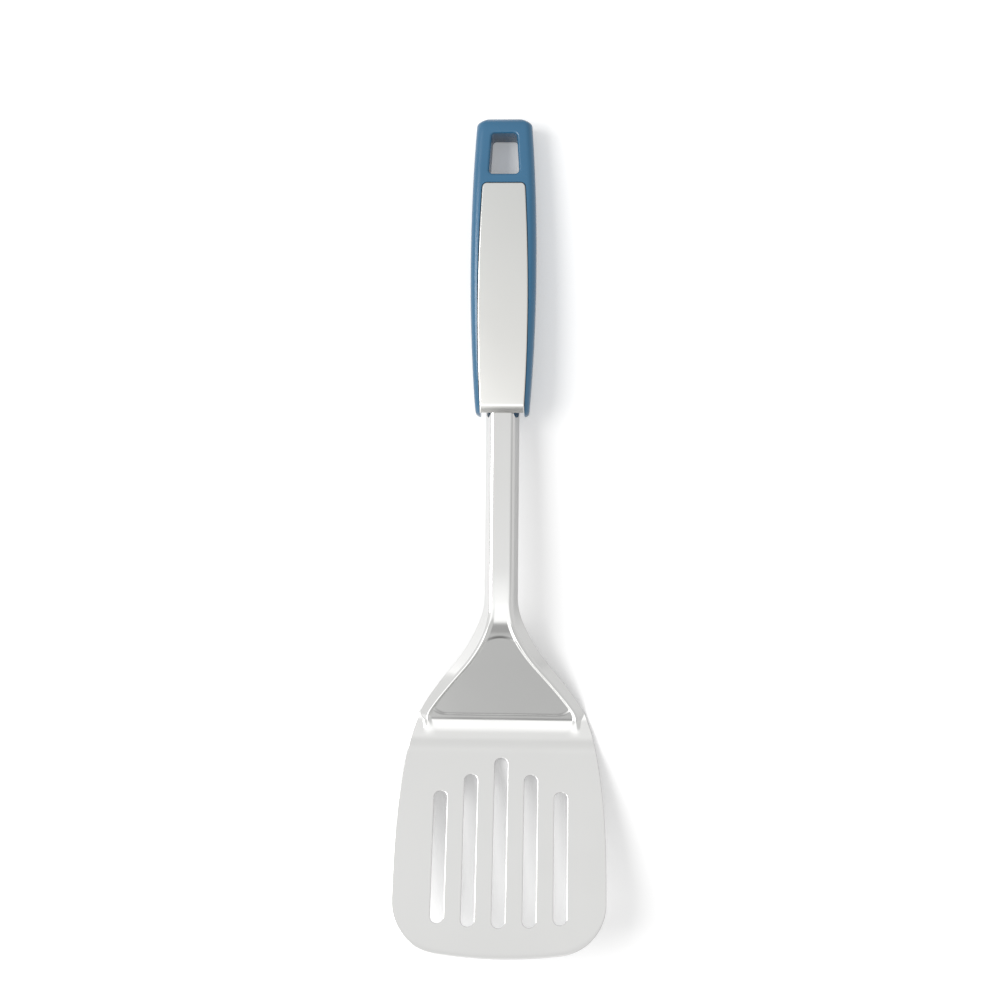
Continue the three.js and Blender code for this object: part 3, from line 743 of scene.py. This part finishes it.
def slotted_plate_tree():
    """Fills an outline, front and back, leaving a row of round-ended slots with rounded rims."""
    sizes = {**dict.fromkeys(PLATE_SIZES, "Float"), "Slots": "Int"}
    inputs = {"Outline": "Geometry", **sizes, "Material": "Material"}
    tree, source, result = new_tree("Slotted plate", "GeometryNodeTree", inputs, {"Plate": "Geometry"})
    sums, xyz, geo = (partial(kind, tree) for kind in (maths, vector, geometry))

    first = sums("MULTIPLY", sums("SUBTRACT", source["Slots"], 1), -0.5)
    start = xyz(sums("MULTIPLY", first, source["Pitch"]), 0, 0)
    row = points_in_row(tree, source["Slots"], start, xyz(source["Pitch"], 0, 0))

    x = axes(tree, geo("InputPosition"))["X"]
    offset = sums("DIVIDE", sums("ABSOLUTE", x), source["Pitch"])
    near = sums("MULTIPLY_ADD", offset, source["Stagger"], source["Reach"])
    square = sums("MULTIPLY", source["Tip Radius"], source["Tip Radius"])
    chord = sums("SQRT", sums("SUBTRACT", square, sums("MULTIPLY", x, x)))
    fall = sums("SUBTRACT", source["Tip Radius"], chord)
    far = sums("SUBTRACT", source["Tip Reach"], sums("ADD", source["Margin"], fall))
    middle = sums("MULTIPLY", sums("ADD", near, far), -0.5)
    spots = geo("SetPosition", {"Geometry": row, "Offset": xyz(0, middle, 0)})

    shape = geo("CurvePrimitiveQuadrilateral", {"Width": source["Width"], "Height": 1}, mode="RECTANGLE")
    scale = xyz(1, sums("SUBTRACT", far, near), 1)
    placed = geo("InstanceOnPoints", {"Points": spots, "Instance": shape, "Scale": scale})
    square_loops = geo("RealizeInstances", {"Geometry": placed})
    end_radius = sums("MULTIPLY", source["Width"], SLOT_END)
    ends = {"Curve": square_loops, "Count": SLOT_ARC_STEPS, "Radius": end_radius}
    round_loops = geo("FilletCurve", ends, mode="POLY")
    loops = geo("SetCurveNormal", {"Curve": round_loops}, mode="Z_UP")

    room = sums("ADD", source["Rim"], source["Guard"])
    corners = {
        "Point 1": xyz(room, 0, 0),
        "Point 2": xyz(0, 0, 0),
        "Point 3": xyz(0, source["Sheet"], 0),
        "Point 4": xyz(room, source["Sheet"], 0),
    }
    square_rim = geo("CurvePrimitiveQuadrilateral", corners, mode="POINTS")
    open_rim = geo("SetSplineCyclic", {"Geometry": square_rim, "Cyclic": False})
    bent = {"Curve": open_rim, "Count": RIM_STEPS, "Radius": source["Rim"]}
    profile = geo("FilletCurve", bent, mode="POLY")
    rims = geo("CurveToMesh", {"Curve": loops, "Profile Curve": profile})

    away = shading(tree, "VectorMath", {0: geo("InputNormal"), "Scale": room}, operation="SCALE")
    grown = geo("SetPosition", {"Geometry": loops, "Offset": away})
    edge = geo("MeshToCurve", {"Mesh": source["Outline"]})
    front = geo("FillCurve", {"Curve": joined(tree, edge, grown)}, mode="TRIANGLES")
    low = sums("MULTIPLY", source["Sheet"], -1)
    lowered = geo("SetPosition", {"Geometry": front, "Offset": xyz(0, 0, low)})
    back = geo("FlipFaces", {"Mesh": lowered})
    skins = {"Geometry": joined(tree, front, back, rims), "Distance": MERGE_DISTANCE}
    end_tree(tree, geo("MergeByDistance", skins), source["Material"], result["Plate"])
    return tree


def slotted_plate(sizes, outline, material):
    """The flat of the blade between its rims, in the blade's own plane: +Y back to the neck, +Z front."""
    count = len(outline)
    host = mesh_object("blade_outline", outline, [(here, (here + 1) % count) for here in range(count)])
    values = {label: getattr(sizes, size) for label, size in PLATE_SIZES.items()}
    plate = run_tree(host, slotted_plate_tree(), {**values, "Material": material})
    drop(host)
    return plate


def slotted_blade(material):
    """Tang, shank, neck and heel as rings, the flat blade with its slots, and the rim round the blade."""
    form = SheetForm()
    s = form.s
    shape = bmesh.new()
    rings = [[shape.verts.new(point) for point in form.ring(reach)] for reach in form.rows()]
    for first, second in zip(rings, rings[1:]):
        bridge(shape, first, second, closed=True)
    shape.faces.new(rings[0])

    front, _, _ = form.half_section(form.joint)
    edge = form.blade_edge()
    joint_edge = (Vector((form.outline(form.joint)[0], form.joint)), Vector((1, 0)))
    right = [joint_edge, *edge]
    mirrored = [(Vector((-at.x, at.y)), Vector((-way.x, way.y))) for at, way in reversed(right[:-1])]
    chain = [*right, *mirrored]
    strips = []
    inner = []
    for at, way in chain:
        places = [(at + way * out, up) for out, up in rim_profile(s, smoothstep(way.y))]
        inner.append(places[0][0])
        strips.append([shape.verts.new(form.on_sheet(place.y, place.x, up)) for place, up in places])
    for first, second in zip(strips, strips[1:]):
        bridge(shape, first, second, closed=False)

    across = [Vector((x, form.joint)) for x, _ in front]
    joint = [*(Vector((-at.x, at.y)) for at in reversed(across[1:])), *across]
    outline = [(at.x, form.blade_start - at.y, 0) for at in [*joint, *inner]]
    plate = slotted_plate(s, outline, material)
    y, z, tilt = form.spine(form.blade_start)
    plate.transform(Matrix.Translation((0, y, z)) @ Matrix.Rotation(-tilt, 4, "X"))
    shape.from_mesh(plate)
    bpy.data.meshes.remove(plate)
    return closed_object("turner_blade", shape)


# Handle, cover, screws and pads


class HandleForm:
    """Levels, places and outlines of the handle and of what it holds."""

    def __init__(self):
        self.s = s = settings("handle")
        self.sheet = sheet = settings("sheet")
        self.shank_front = sheet.shank_depth / 2
        self.trough_floor = self.shank_front - sheet.shank_depth - s.gap
        self.back = self.trough_floor - s.back_wall
        self.front = self.shank_front + s.gap + s.cover_depth - s.cover_proud + s.crown
        self.depth = self.front - self.back
        self.hole_end = s.length - s.butt_wall
        self.hole_start = self.hole_end - s.hole_length
        self.cover_end = self.hole_start - s.cover_to_hole
        self.pad_end = self.cover_end - s.cover_sheet - s.pad_margin
        self.pad_start = self.pad_end - s.upper_pad_length
        self.screws = (s.screw_margin, sheet.tang_length - s.screw_margin)
        self.fold_line = s.cover_start + s.cover_fold
        self.fold_angle = math.atan2(s.cover_depth - s.cover_sheet, s.cover_fold)
        self.cover_bottom = self.cover_top(s.cover_start) - s.cover_depth
        self.recess_floor = self.cover_bottom - s.gap
        self.seat_top = self.cover_top(self.pad_end) - s.cover_sheet - s.upper_pad_thickness - 2 * s.gap

    def half(self, y):
        s = self.s
        upper = y > s.widest
        end, end_width = (s.length, s.butt_width) if upper else (0.0, s.mouth_width)
        part = (y - s.widest) / (end - s.widest)
        return (s.width - (s.width - end_width) * part**2) / 2

    def top(self, y):
        middle = self.s.length / 2
        return self.front - self.s.crown * ((y - middle) / middle) ** 2

    def cover_half(self, y):
        return self.half(y) - blend(self.s.border_at_mouth, self.s.border_at_butt, y / self.s.length)

    def cover_top(self, y):
        return self.top(y) + self.s.cover_proud

    def station(self, y):
        s = self.s
        tip = round_inset(s.leg_tip, y)
        butt = round_inset(s.butt_edge, s.length - y)
        half = self.half(y) - round_inset(s.butt_corner, s.length - y) - tip
        top = self.top(y) - butt - round_inset(s.leg_front, y)
        return y, half, top, self.back + butt + tip, s.front_edge, s.back_edge

    def shell_stations(self):
        s = self.s
        low = sorted({*end_steps(s.leg_tip, LEG_STEPS), *end_steps(s.leg_front, END_STEPS)})
        high = [s.length - step for step in reversed(end_steps(s.butt_corner, END_STEPS))]
        return [self.station(y) for y in [*low, *spread(low[-1], high[0], SHELL_STEPS), *high[1:]]]

    def butt_bow(self, x, y):
        s = self.s
        part = smoothstep(1 - (s.length - y) / s.butt_arch_reach)
        return s.butt_arch * part * (2 * x / s.butt_width) ** 2

    def cover_stations(self, grow, start, bottom):
        """Stations of the cover, grown by some amount on its sides, its upper end and its front."""
        s = self.s
        corner = s.cover_corner + grow
        end = self.cover_end + grow
        high = [end - step for step in reversed(end_steps(corner, EDGE_STEPS))]
        stations = []
        for y in [start, *spread(start, high[0], COVER_STEPS), *high[1:]]:
            half = self.cover_half(y) + grow - round_inset(corner, end - y)
            top = self.cover_top(y) + grow - round_inset(s.cover_bend, end - y)
            stations.append((y, half, top, bottom, max(0.0, s.cover_bend + grow), 0.0))
        return stations

    def folded_cover(self, grow, bottom, fall):
        """The same, with its lower end bent down by some amount."""
        s = self.s
        radius = s.cover_fold_radius + grow
        tangent = radius * math.tan(self.fold_angle / 2)
        line = self.fold_line - grow * math.tan(self.fold_angle / 2)
        stations = self.cover_stations(grow, line + tangent, bottom)
        _, half, top, *rest = stations[0]
        bend = []
        for turn in spread(0, self.fold_angle, EDGE_STEPS):
            y = line + tangent - radius * math.sin(turn)
            bend.append((y, half, top - radius * (1 - math.cos(turn)), *rest))
        run = fall / math.tan(self.fold_angle)
        return [(line - run, half, top - fall, *rest), *reversed(bend), *stations]

    def hole_outline(self, grow):
        """Rounded outline of the hang hole, grown by some amount."""
        s = self.s
        low, high = self.hole_start + s.hole_corner, self.hole_end - s.hole_corner
        low_half, high_half = s.hole_start_width / 2 - s.hole_corner, s.hole_end_width / 2 - s.hole_corner
        corners = ((180, -low_half, low), (270, low_half, low), (0, high_half, high), (90, -high_half, high))
        outline = []
        for first, x, y in corners:
            for turn in [0, *spread(0, 90, EDGE_STEPS)]:
                way = math.radians(first + turn)
                radius = s.hole_corner + grow
                outline.append(Vector((x, y)) + Vector((math.cos(way), math.sin(way))) * radius)
        return outline


def rounded_section(half, top, bottom, top_radius, bottom_radius):
    """Rounded rectangle across the tool, as (x, z); its corners leave some of each side straight."""
    most = MOST_ROUNDED * min(half, (top - bottom) / 2)
    upper, lower = min(top_radius, most), min(bottom_radius, most)
    corners = (
        (half - lower, bottom + lower, lower, -math.pi / 2),
        (half - upper, top - upper, upper, 0.0),
        (upper - half, top - upper, upper, math.pi / 2),
        (lower - half, bottom + lower, lower, math.pi),
    )
    points = []
    for x, z, radius, start in corners:
        for turn in [start, *spread(start, start + math.pi / 2, EDGE_STEPS)]:
            points.append((x + radius * math.cos(turn), z + radius * math.sin(turn)))
    return points


def closed_tube(name, rings):
    """A closed object through rings of points, with flat ends."""
    shape = bmesh.new()
    rows = [[shape.verts.new(point) for point in ring] for ring in rings]
    for first, second in zip(rows, rows[1:]):
        bridge(shape, first, second, closed=True)
    shape.faces.new(rows[0])
    shape.faces.new(rows[-1])
    return closed_object(name, shape)


def loft(name, stations, bow=None):
    """A closed object through rounded sections along y; bow draws points back along y."""
    rings = []
    for y, *section in stations:
        points = rounded_section(*section)
        rings.append([(x, y - (bow(x, y) if bow else 0.0), z) for x, z in points])
    return closed_tube(name, rings)


def block(name, half, start, end, bottom, top):
    return loft(name, [(y, half, top, bottom, 0.0, 0.0) for y in (start, end)])


def circle(radius, z, y=0.0):
    turns = [2 * math.pi * step / ROUND_SIDES for step in range(ROUND_SIDES)]
    return [(radius * math.cos(turn), y + radius * math.sin(turn), z) for turn in turns]


def hole_tool(handle):
    """Cutter of the hang hole, flared at both faces so that its edges are rounded."""
    rim = handle.s.hole_rim
    turns = spread(0, math.pi / 2, EDGE_STEPS)
    flare = [(rim - rim * math.cos(turn), rim - rim * math.sin(turn)) for turn in turns]
    face = [(-2 * rim, rim), (0.0, rim), *flare]
    rings = []
    for depth, grow in face:
        rings.append([(at.x, at.y, handle.top(at.y) - depth) for at in handle.hole_outline(grow)])
    for depth, grow in reversed(face):
        rings.append([(at.x, at.y, handle.back + depth) for at in handle.hole_outline(grow)])
    return closed_tube("hole_tool", rings)


def handle_body():
    """Shell with the cover's recess, the tang's trough and tongue, the mouth, and the holes."""
    handle = HandleForm()
    s, sheet = handle.s, handle.sheet
    above, below, past = handle.front + handle.depth, handle.back - handle.depth, -s.leg_tip
    body = loft("turner_handle", handle.shell_stations(), handle.butt_bow)
    recess = [
        (y, half, above, bottom, *radii)
        for y, half, _, bottom, *radii in handle.cover_stations(s.gap, past, handle.recess_floor)
    ]
    tongue_top = handle.shank_front - sheet.sheet - s.gap
    tongue_low = handle.trough_floor - sheet.sheet
    tongue_ends = (s.mouth_notch + sheet.sheet, sheet.tang_length - s.pad_margin)
    tongue = [(y, s.tongue_width / 2, tongue_top, tongue_low, s.tongue_edge, 0.0) for y in tongue_ends]
    seat_low = handle.recess_floor - sheet.sheet
    seat = (s.pad_width / 2, handle.pad_start, handle.pad_end, seat_low, handle.seat_top)
    trough_half, trough_end = sheet.shank_width / 2 + s.gap, sheet.tang_length + s.gap
    trough = (trough_half, past, trough_end, handle.trough_floor, above)
    mouth = (handle.cover_half(0) + s.gap, past, s.mouth_notch, below, above)
    cuts = [
        ("DIFFERENCE", loft("recess", recess)),
        ("UNION", block("seat", *seat)),
        ("DIFFERENCE", block("trough", *trough)),
        ("DIFFERENCE", block("mouth", *mouth)),
        ("UNION", loft("tongue", tongue)),
        ("DIFFERENCE", hole_tool(handle)),
    ]
    levels = (handle.shank_front - s.screw_length - s.gap, above)
    for place in handle.screws:
        rings = [circle(s.screw_radius + s.gap, z, place) for z in levels]
        cuts.append(("DIFFERENCE", closed_tube("screw_hole", rings)))
    return carve(body, cuts)


def cover_plate():
    """The cover's outside, hollowed out from below."""
    handle = HandleForm()
    s = handle.s
    outer = handle.folded_cover(0.0, handle.cover_bottom, s.cover_depth - s.cover_sheet)
    inner = handle.folded_cover(-s.cover_sheet, handle.cover_bottom - s.cover_depth, s.cover_depth)
    return carve(loft("turner_cover", outer), [("DIFFERENCE", loft("cover_inside", inner))])


def screw_row_tree():
    """Repeats one screw along y."""
    inputs = {"Screw": "Geometry", "Count": "Int", "First": "Float", "Pitch": "Float", "Material": "Material"}
    tree, source, result = new_tree("Screw row", "GeometryNodeTree", inputs, {"Screws": "Geometry"})
    start, step = (vector(tree, 0, source[label], 0) for label in ("First", "Pitch"))
    spots = points_in_row(tree, source["Count"], start, step)
    placed = geometry(tree, "InstanceOnPoints", {"Points": spots, "Instance": source["Screw"]})
    end_tree(tree, placed, source["Material"], result["Screws"])
    return tree


def tang_screws(material):
    """One turned screw with a hollow in its head, and its repeat."""
    handle = HandleForm()
    s = handle.s
    seat = handle.shank_front + s.gap
    chamfer = s.screw_head_height / 3
    profile = [
        (s.screw_radius / 2, -s.screw_length),
        (s.screw_radius, s.screw_radius - s.screw_length),
        (s.screw_radius, 0.0),
        (s.screw_head_radius, 0.0),
        (s.screw_head_radius, s.screw_head_height - chamfer),
        (s.screw_head_radius - chamfer, s.screw_head_height),
        (s.screw_radius, s.screw_head_height),
        (s.screw_radius / 2, s.screw_head_height / 2),
    ]
    host = closed_tube("turner_screws", [circle(radius, seat + z) for radius, z in profile])
    first, last = handle.screws
    values = {"Count": len(handle.screws), "First": first, "Pitch": last - first, "Material": material}
    old = host.data
    host.data = run_tree(host, screw_row_tree(), values)
    bpy.data.meshes.remove(old)
    return host


def cover_pad(handle, name, start, end, seat):
    """Foam pad between a flat seat and the cover's underside, with rounded edges and drawn-in sides."""
    s = handle.s
    stations = []
    low = end_steps(s.pad_edge, PAD_EDGE_STEPS)
    high = [end - start - step for step in reversed(low)]
    for along in [*low, *spread(low[-1], high[0], PAD_STEPS), *high[1:]]:
        y = start + along
        inset = round_inset(s.pad_edge, along) + round_inset(s.pad_edge, end - y)
        waist = s.pad_edge / 2 * math.sin(math.pi * along / (end - start))
        half = s.pad_width / 2 - inset - waist
        top = handle.cover_top(y) - s.cover_sheet - s.gap - inset / 2
        stations.append((y, half, top, seat + s.gap + inset / 2, s.pad_edge, s.pad_edge))
    return loft(name, stations)


# Finishes


# Fineness of the grain's two noises, and the part of the cloudy one that a mask is stretched from
LINE_DETAIL = 3.0
CLOUD_DETAIL = 2.0
CLOUD_RANGE = (0.3, 0.7)
# Where the cover's painted shade begins and ends, darkening its colour towards the butt, in metres along the
# tool
COVER_SHADE_RUN = (0.055, 0.150)
STEEL = {"Metallic": 1.0}
SATIN = {"Coat Weight": 0.5, "Coat Roughness": 0.25}
# Each finish: second colour; the grain's lines, stretch and clouds; least and most roughness; the bump's
# distance and strength; the run along which the colours change, if not in clouds; what is the same all over
FINISHES = {
    "blade_steel": ("blade_haze", (2600, 0.05, 40), (0.10, 0.17), (2e-6, 0.15), None, STEEL),
    "cover_steel": ("cover_dull", (5200, 0.02, 30), (0.19, 0.235), (4e-6, 0.35), COVER_SHADE_RUN, STEEL),
    "plastic": ("plastic_worn", (3200, 1.0, 60), (0.22, 0.30), (8e-6, 0.25), None, SATIN),
    "zinc": ("zinc_dull", (2000, 1.0, 500), (0.3, 0.5), (6e-6, 0.3), None, STEEL),
    "foam": ("foam_pore", (2500, 1.0, 1800), (0.9, 1.0), (6e-5, 0.8), None, {}),
}


def grain_group():
    """Fine lines along a piece, as a height, and a soft, cloudy mask. Made once."""
    name = "Polishing grain"
    if name in bpy.data.node_groups:
        return bpy.data.node_groups[name]
    inputs = dict.fromkeys(("Lines", "Stretch", "Clouds"), "Float")
    outputs = dict.fromkeys(("Height", "Cloud"), "Float")
    tree, source, result = new_tree(name, "ShaderNodeTree", inputs, outputs)
    place = object_place(tree)
    squeeze = vector(tree, 1, source["Stretch"], 1)
    drawn = shading(tree, "VectorMath", {0: place, 1: squeeze}, operation="MULTIPLY")
    noises = (("Height", drawn, "Lines", LINE_DETAIL), ("Cloud", place, "Clouds", CLOUD_DETAIL))
    for label, at, scale, detail in noises:
        noise = shading(tree, "TexNoise", {"Vector": at, "Scale": source[scale], "Detail": detail})
        tree.links.new(noise, result[label])
    return tree


def new_material(name):
    """A material, its tree and its shader."""
    material = bpy.data.materials.new(name)
    material.use_nodes = True
    return material, material.node_tree, material.node_tree.nodes["Principled BSDF"]


def ranged(tree, value, start, end, low=0.0, high=1.0, **details):
    """A value that goes from start to end, as one that goes from low to high."""
    inputs = {"Value": value, "From Min": start, "From Max": end, "To Min": low, "To Max": high}
    return shading(tree, "MapRange", inputs, **details)


def finish(name):
    """A finish with fine grain. Made once."""
    full_name = f"turner_{name}"
    if full_name in bpy.data.materials:
        return bpy.data.materials[full_name]
    second, (lines, stretch, clouds), rough, (distance, strength), run, constants = FINISHES[name]
    first_colour, second_colour = ((*getattr(settings("finish"), each), 1) for each in (name, second))
    material, tree, shader = new_material(full_name)
    inputs = {"Lines": lines, "Stretch": stretch, "Clouds": clouds}
    grain = node(tree, "ShaderNodeGroup", inputs, node_tree=grain_group()).outputs
    # For the cover the colours change along y, as a painted shade that darkens it towards the butt; the other
    # finishes change in clouds
    part = ranged(tree, axes(tree, object_place(tree))["Y"], *run) if run else grain["Cloud"]
    bump = {"Height": grain["Height"], "Distance": distance, "Strength": strength}
    looks = {
        "Base Color": mix(tree, part, first_colour, second_colour, "RGBA"),
        "Roughness": ranged(tree, grain["Cloud"], *CLOUD_RANGE, *rough),
        "Normal": shading(tree, "Bump", bump),
    }
    for label, socket in looks.items():
        tree.links.new(socket, shader.inputs[label])
    for label, value in constants.items():
        shader.inputs[label].default_value = value
    return material


# Stage


# Brightness of the surround by how far a direction points back (+1) or to the front (-1)
SURROUND_BANDS = (
    (-1.0, 0.20),
    (-0.97, 0.20),
    (-0.91, 0.64),
    (-0.87, 0.60),
    (-0.83, 0.42),
    (-0.68, 0.42),
    (-0.60, 1.36),
    (-0.12, 1.36),
    (0.03, 1.05),
    (0.07, 0.99),
    (0.17, 0.87),
    (0.28, 0.89),
    (0.42, 0.97),
    (1.0, 0.75),
)
# Sides of the surround: from and to how far right a direction points, the same for back, and their brightness
ANY = (2.0, 1.0)
SURROUND_SIDES = (
    ((-0.3, -0.5), ANY, 0.92),
    ((-0.06, -0.32), (-0.55, -0.7), 2.0),
    ((0.05, 0.95), ANY, 0.52),
    ((0.05, 0.5), (0.03, -0.1), 0.75),
    ((0.0, 0.15), (-0.5, -0.65), 0.72),
    ((0.8, 0.97), ANY, 0.82),
)
# A colour ramp holds no level above 1, so its levels are parts of this one
RAMP_TOP = 2
# Floor's colour for the light that it throws on the tool, and its white for the camera and the steel
FLOOR_BASE = (0.6, 0.6, 0.6, 1)
FLOOR_WHITE = 0.95
# Where the floor's painted shade in the steel begins and ends, from left to right, and how far off it runs
# into the white surround, in metres
FLOOR_SHADE_TURN = (-0.02, 0.03)
FLOOR_FADE = (0.35, 1.2)
# Soft light on the left, in metres
LAMP_PLACE = (-0.85, 0.1, 1.0)
LAMP_SIZE = (0.8, 0.8)


def eased(tree, value, start, end):
    """Smooth change from 0 to 1 as a value goes from start to end."""
    return ranged(tree, value, start, end, interpolation_type="SMOOTHSTEP")


def lookers(tree):
    """Whether the camera sees a place itself, and whether it sees the place mirrored in a piece."""
    rays = node(tree, "ShaderNodeLightPath").outputs
    direct = maths(tree, "LESS_THAN", rays["Diffuse Depth"], 0.5)
    return rays["Is Camera Ray"], maths(tree, "MULTIPLY", rays["Is Glossy Ray"], direct)


def floor_material(stage):
    """White floor. The camera and the steel see part of its white unshaded, so the shadow on it stays light.

    Far off, the camera sees all of it unshaded. The steel shows its right half dimmer, as painted shade."""
    material, tree, shader = new_material("stage_floor")
    shader.inputs["Base Color"].default_value = FLOOR_BASE
    shader.inputs["Roughness"].default_value = 1
    plain, in_steel = lookers(tree)
    place = object_place(tree)
    away = node(tree, "ShaderNodeVectorMath", {0: place}, operation="LENGTH").outputs["Value"]
    unshaded = mix(tree, eased(tree, away, *FLOOR_FADE), stage.floor_glow, 1.0)
    glow = mix(tree, plain, stage.steel_glow, unshaded)
    # Painted shade: where the steel shows the floor's right half, its white is darkened
    right = eased(tree, axes(tree, place)["X"], *FLOOR_SHADE_TURN)
    white = mix(tree, maths(tree, "MULTIPLY", right, in_steel), FLOOR_WHITE, stage.steel_dim)
    shaded = shading(tree, "BsdfDiffuse", {"Color": white})
    glowing = shading(tree, "Emission", {"Color": (1, 1, 1, 1), "Strength": glow})
    shown = shading(tree, "AddShader", {0: shaded, 1: glowing})
    seen = maths(tree, "MAXIMUM", plain, in_steel)
    both = shading(tree, "MixShader", {0: seen, 1: shader.outputs[0], 2: shown})
    tree.links.new(both, tree.nodes["Material Output"].inputs["Surface"])
    return material


def soft_light(name, place, size, level):
    """A rectangular soft light that faces the tool and gives a level of light there."""
    lamp = bpy.data.lights.new(name, "AREA")
    lamp.shape = "RECTANGLE"
    lamp.size, lamp.size_y = size
    way = Vector(place)
    lamp.energy = level * math.pi**2 * way.length_squared * way.length / way.z
    made = new_object(name, lamp)
    made.location = way
    made.rotation_euler = way.to_track_quat("Z", "Y").to_euler()


def surround(stage):
    """A room that looks white to the camera, lights most from the right and shows as bands in the steel."""
    world = bpy.data.worlds.new("stage_surround")
    world.use_nodes = True
    tree = world.node_tree
    way = axes(tree, node(tree, "ShaderNodeTexCoord").outputs["Generated"])
    bands = node(tree, "ShaderNodeValToRGB", {0: maths(tree, "MULTIPLY_ADD", way["Y"], 0.5, 0.5)})
    stops = bands.color_ramp.elements
    for y, _ in SURROUND_BANDS[1:-1]:
        stops.new((y + 1) / 2)
    for stop, (y, level) in zip(stops, SURROUND_BANDS):
        stop.position = (y + 1) / 2
        stop.color = (*[level / RAMP_TOP] * 3, 1)
    bright = maths(tree, "MULTIPLY", bands.outputs[0], RAMP_TOP)
    for right, back, level in SURROUND_SIDES:
        there = maths(tree, "MULTIPLY", eased(tree, way["X"], *right), eased(tree, way["Y"], *back))
        bright = mix(tree, there, bright, level)
    plain, in_steel = lookers(tree)
    more = maths(tree, "MAXIMUM", way["X"], 0)
    soft = maths(tree, "MULTIPLY_ADD", more, stage.fill * stage.lean, stage.fill)
    shown = mix(tree, plain, mix(tree, in_steel, soft, bright), 1.0)
    background = tree.nodes["Background"]
    background.inputs["Color"].default_value = (1, 1, 1, 1)
    tree.links.new(shown, background.inputs["Strength"])
    bpy.context.scene.world = world


# Operators, panel and registration


class TurnerBlade(bpy.types.Operator):
    """Makes the slotted blade with its neck, shank and tang"""

    bl_idname = "turner.blade"
    bl_label = "Slotted blade"

    def execute(self, context):
        steel = finish("blade_steel")
        finish_piece(slotted_blade(steel), steel, "blade_steel", "slotted_blade")
        return {"FINISHED"}


class TurnerHandleBody(bpy.types.Operator):
    """Makes the moulded handle"""

    bl_idname = "turner.handle"
    bl_label = "Handle"

    def execute(self, context):
        finish_piece(handle_body(), finish("plastic"), "handle_plastic", "handle_body")
        return {"FINISHED"}


class TurnerCover(bpy.types.Operator):
    """Makes the steel cover plate on the handle's front"""

    bl_idname = "turner.cover"
    bl_label = "Cover plate"

    def execute(self, context):
        finish_piece(cover_plate(), finish("cover_steel"), "cover_steel", "cover_plate")
        return {"FINISHED"}


class TurnerScrews(bpy.types.Operator):
    """Makes the two screws that hold the tang"""

    bl_idname = "turner.screws"
    bl_label = "Tang screws"

    def execute(self, context):
        zinc = finish("zinc")
        finish_piece(tang_screws(zinc), zinc, "screw_steel", "tang_screw_lower", "tang_screw_upper")
        return {"FINISHED"}


class TurnerPads(bpy.types.Operator):
    """Makes the foam pads under the cover plate"""

    bl_idname = "turner.pads"
    bl_label = "Foam pads"

    def execute(self, context):
        handle = HandleForm()
        room = handle.s.screw_head_radius + handle.s.pad_margin
        lower, upper = handle.screws
        pads = (
            ("turner_pad_lower", "cover_pad_lower", lower + room, upper - room, handle.shank_front),
            ("turner_pad_upper", "cover_pad_upper", handle.pad_start, handle.pad_end, handle.seat_top),
        )
        for name, cad_node, start, end, seat in pads:
            pad = cover_pad(handle, name, start, end, seat)
            finish_piece(pad, finish("foam"), "pad_foam", cad_node)
        return {"FINISHED"}


class TurnerStageSet(bpy.types.Operator):
    """Sets the floor, the light and the camera"""

    bl_idname = "turner.stage"
    bl_label = "Stage"

    def execute(self, context):
        stage = settings("stage")
        side = stage.floor_size / 2
        corners = [(-side, -side, 0), (side, -side, 0), (side, side, 0), (-side, side, 0)]
        floor = mesh_object("stage_floor", corners, faces=[(0, 1, 2, 3)])
        floor.data.materials.append(floor_material(stage))
        soft_light("stage_left_light", LAMP_PLACE, LAMP_SIZE, stage.left)
        surround(stage)
        camera = new_object("stage_camera", bpy.data.cameras.new("stage_camera"))
        camera.data.lens = stage.lens
        camera.location = stage.camera_place
        turns = ((stage.camera_yaw, "Y"), (stage.camera_pitch, "X"), (stage.camera_roll, "Z"))
        turned = Matrix.Identity(3)
        for amount, axis in turns:
            turned = turned @ Matrix.Rotation(amount, 3, axis)
        camera.rotation_euler = turned.to_euler()
        context.scene.camera = camera
        context.scene.view_settings.view_transform = "Standard"
        return {"FINISHED"}


OPERATORS = (TurnerBlade, TurnerHandleBody, TurnerCover, TurnerScrews, TurnerPads, TurnerStageSet)


class TurnerPanel(bpy.types.Panel):
    """Lists the turner's pieces and its stage"""

    bl_idname = "VIEW3D_PT_turner"
    bl_label = "Slotted turner"
    bl_space_type = "VIEW_3D"
    bl_region_type = "UI"
    bl_category = "Turner"

    def draw(self, context):
        for operator in OPERATORS:
            self.layout.operator(operator.bl_idname)


SETTINGS = {
    "turner_sheet": TurnerSheet,
    "turner_handle": TurnerHandle,
    "turner_finish": TurnerFinish,
    "turner_stage": TurnerStage,
}
CLASSES = (*SETTINGS.values(), *OPERATORS, TurnerPanel)


def register():
    for each in CLASSES:
        bpy.utils.register_class(each)
    for name, group in SETTINGS.items():
        setattr(bpy.types.Scene, name, PointerProperty(type=group))


def unregister():
    for name in SETTINGS:
        delattr(bpy.types.Scene, name)
    for each in reversed(CLASSES):
        bpy.utils.unregister_class(each)


def main():
    register()
    for operator in OPERATORS:
        area, name = operator.bl_idname.split(".")
        getattr(getattr(bpy.ops, area), name)()


if __name__ == "__main__":
    main()
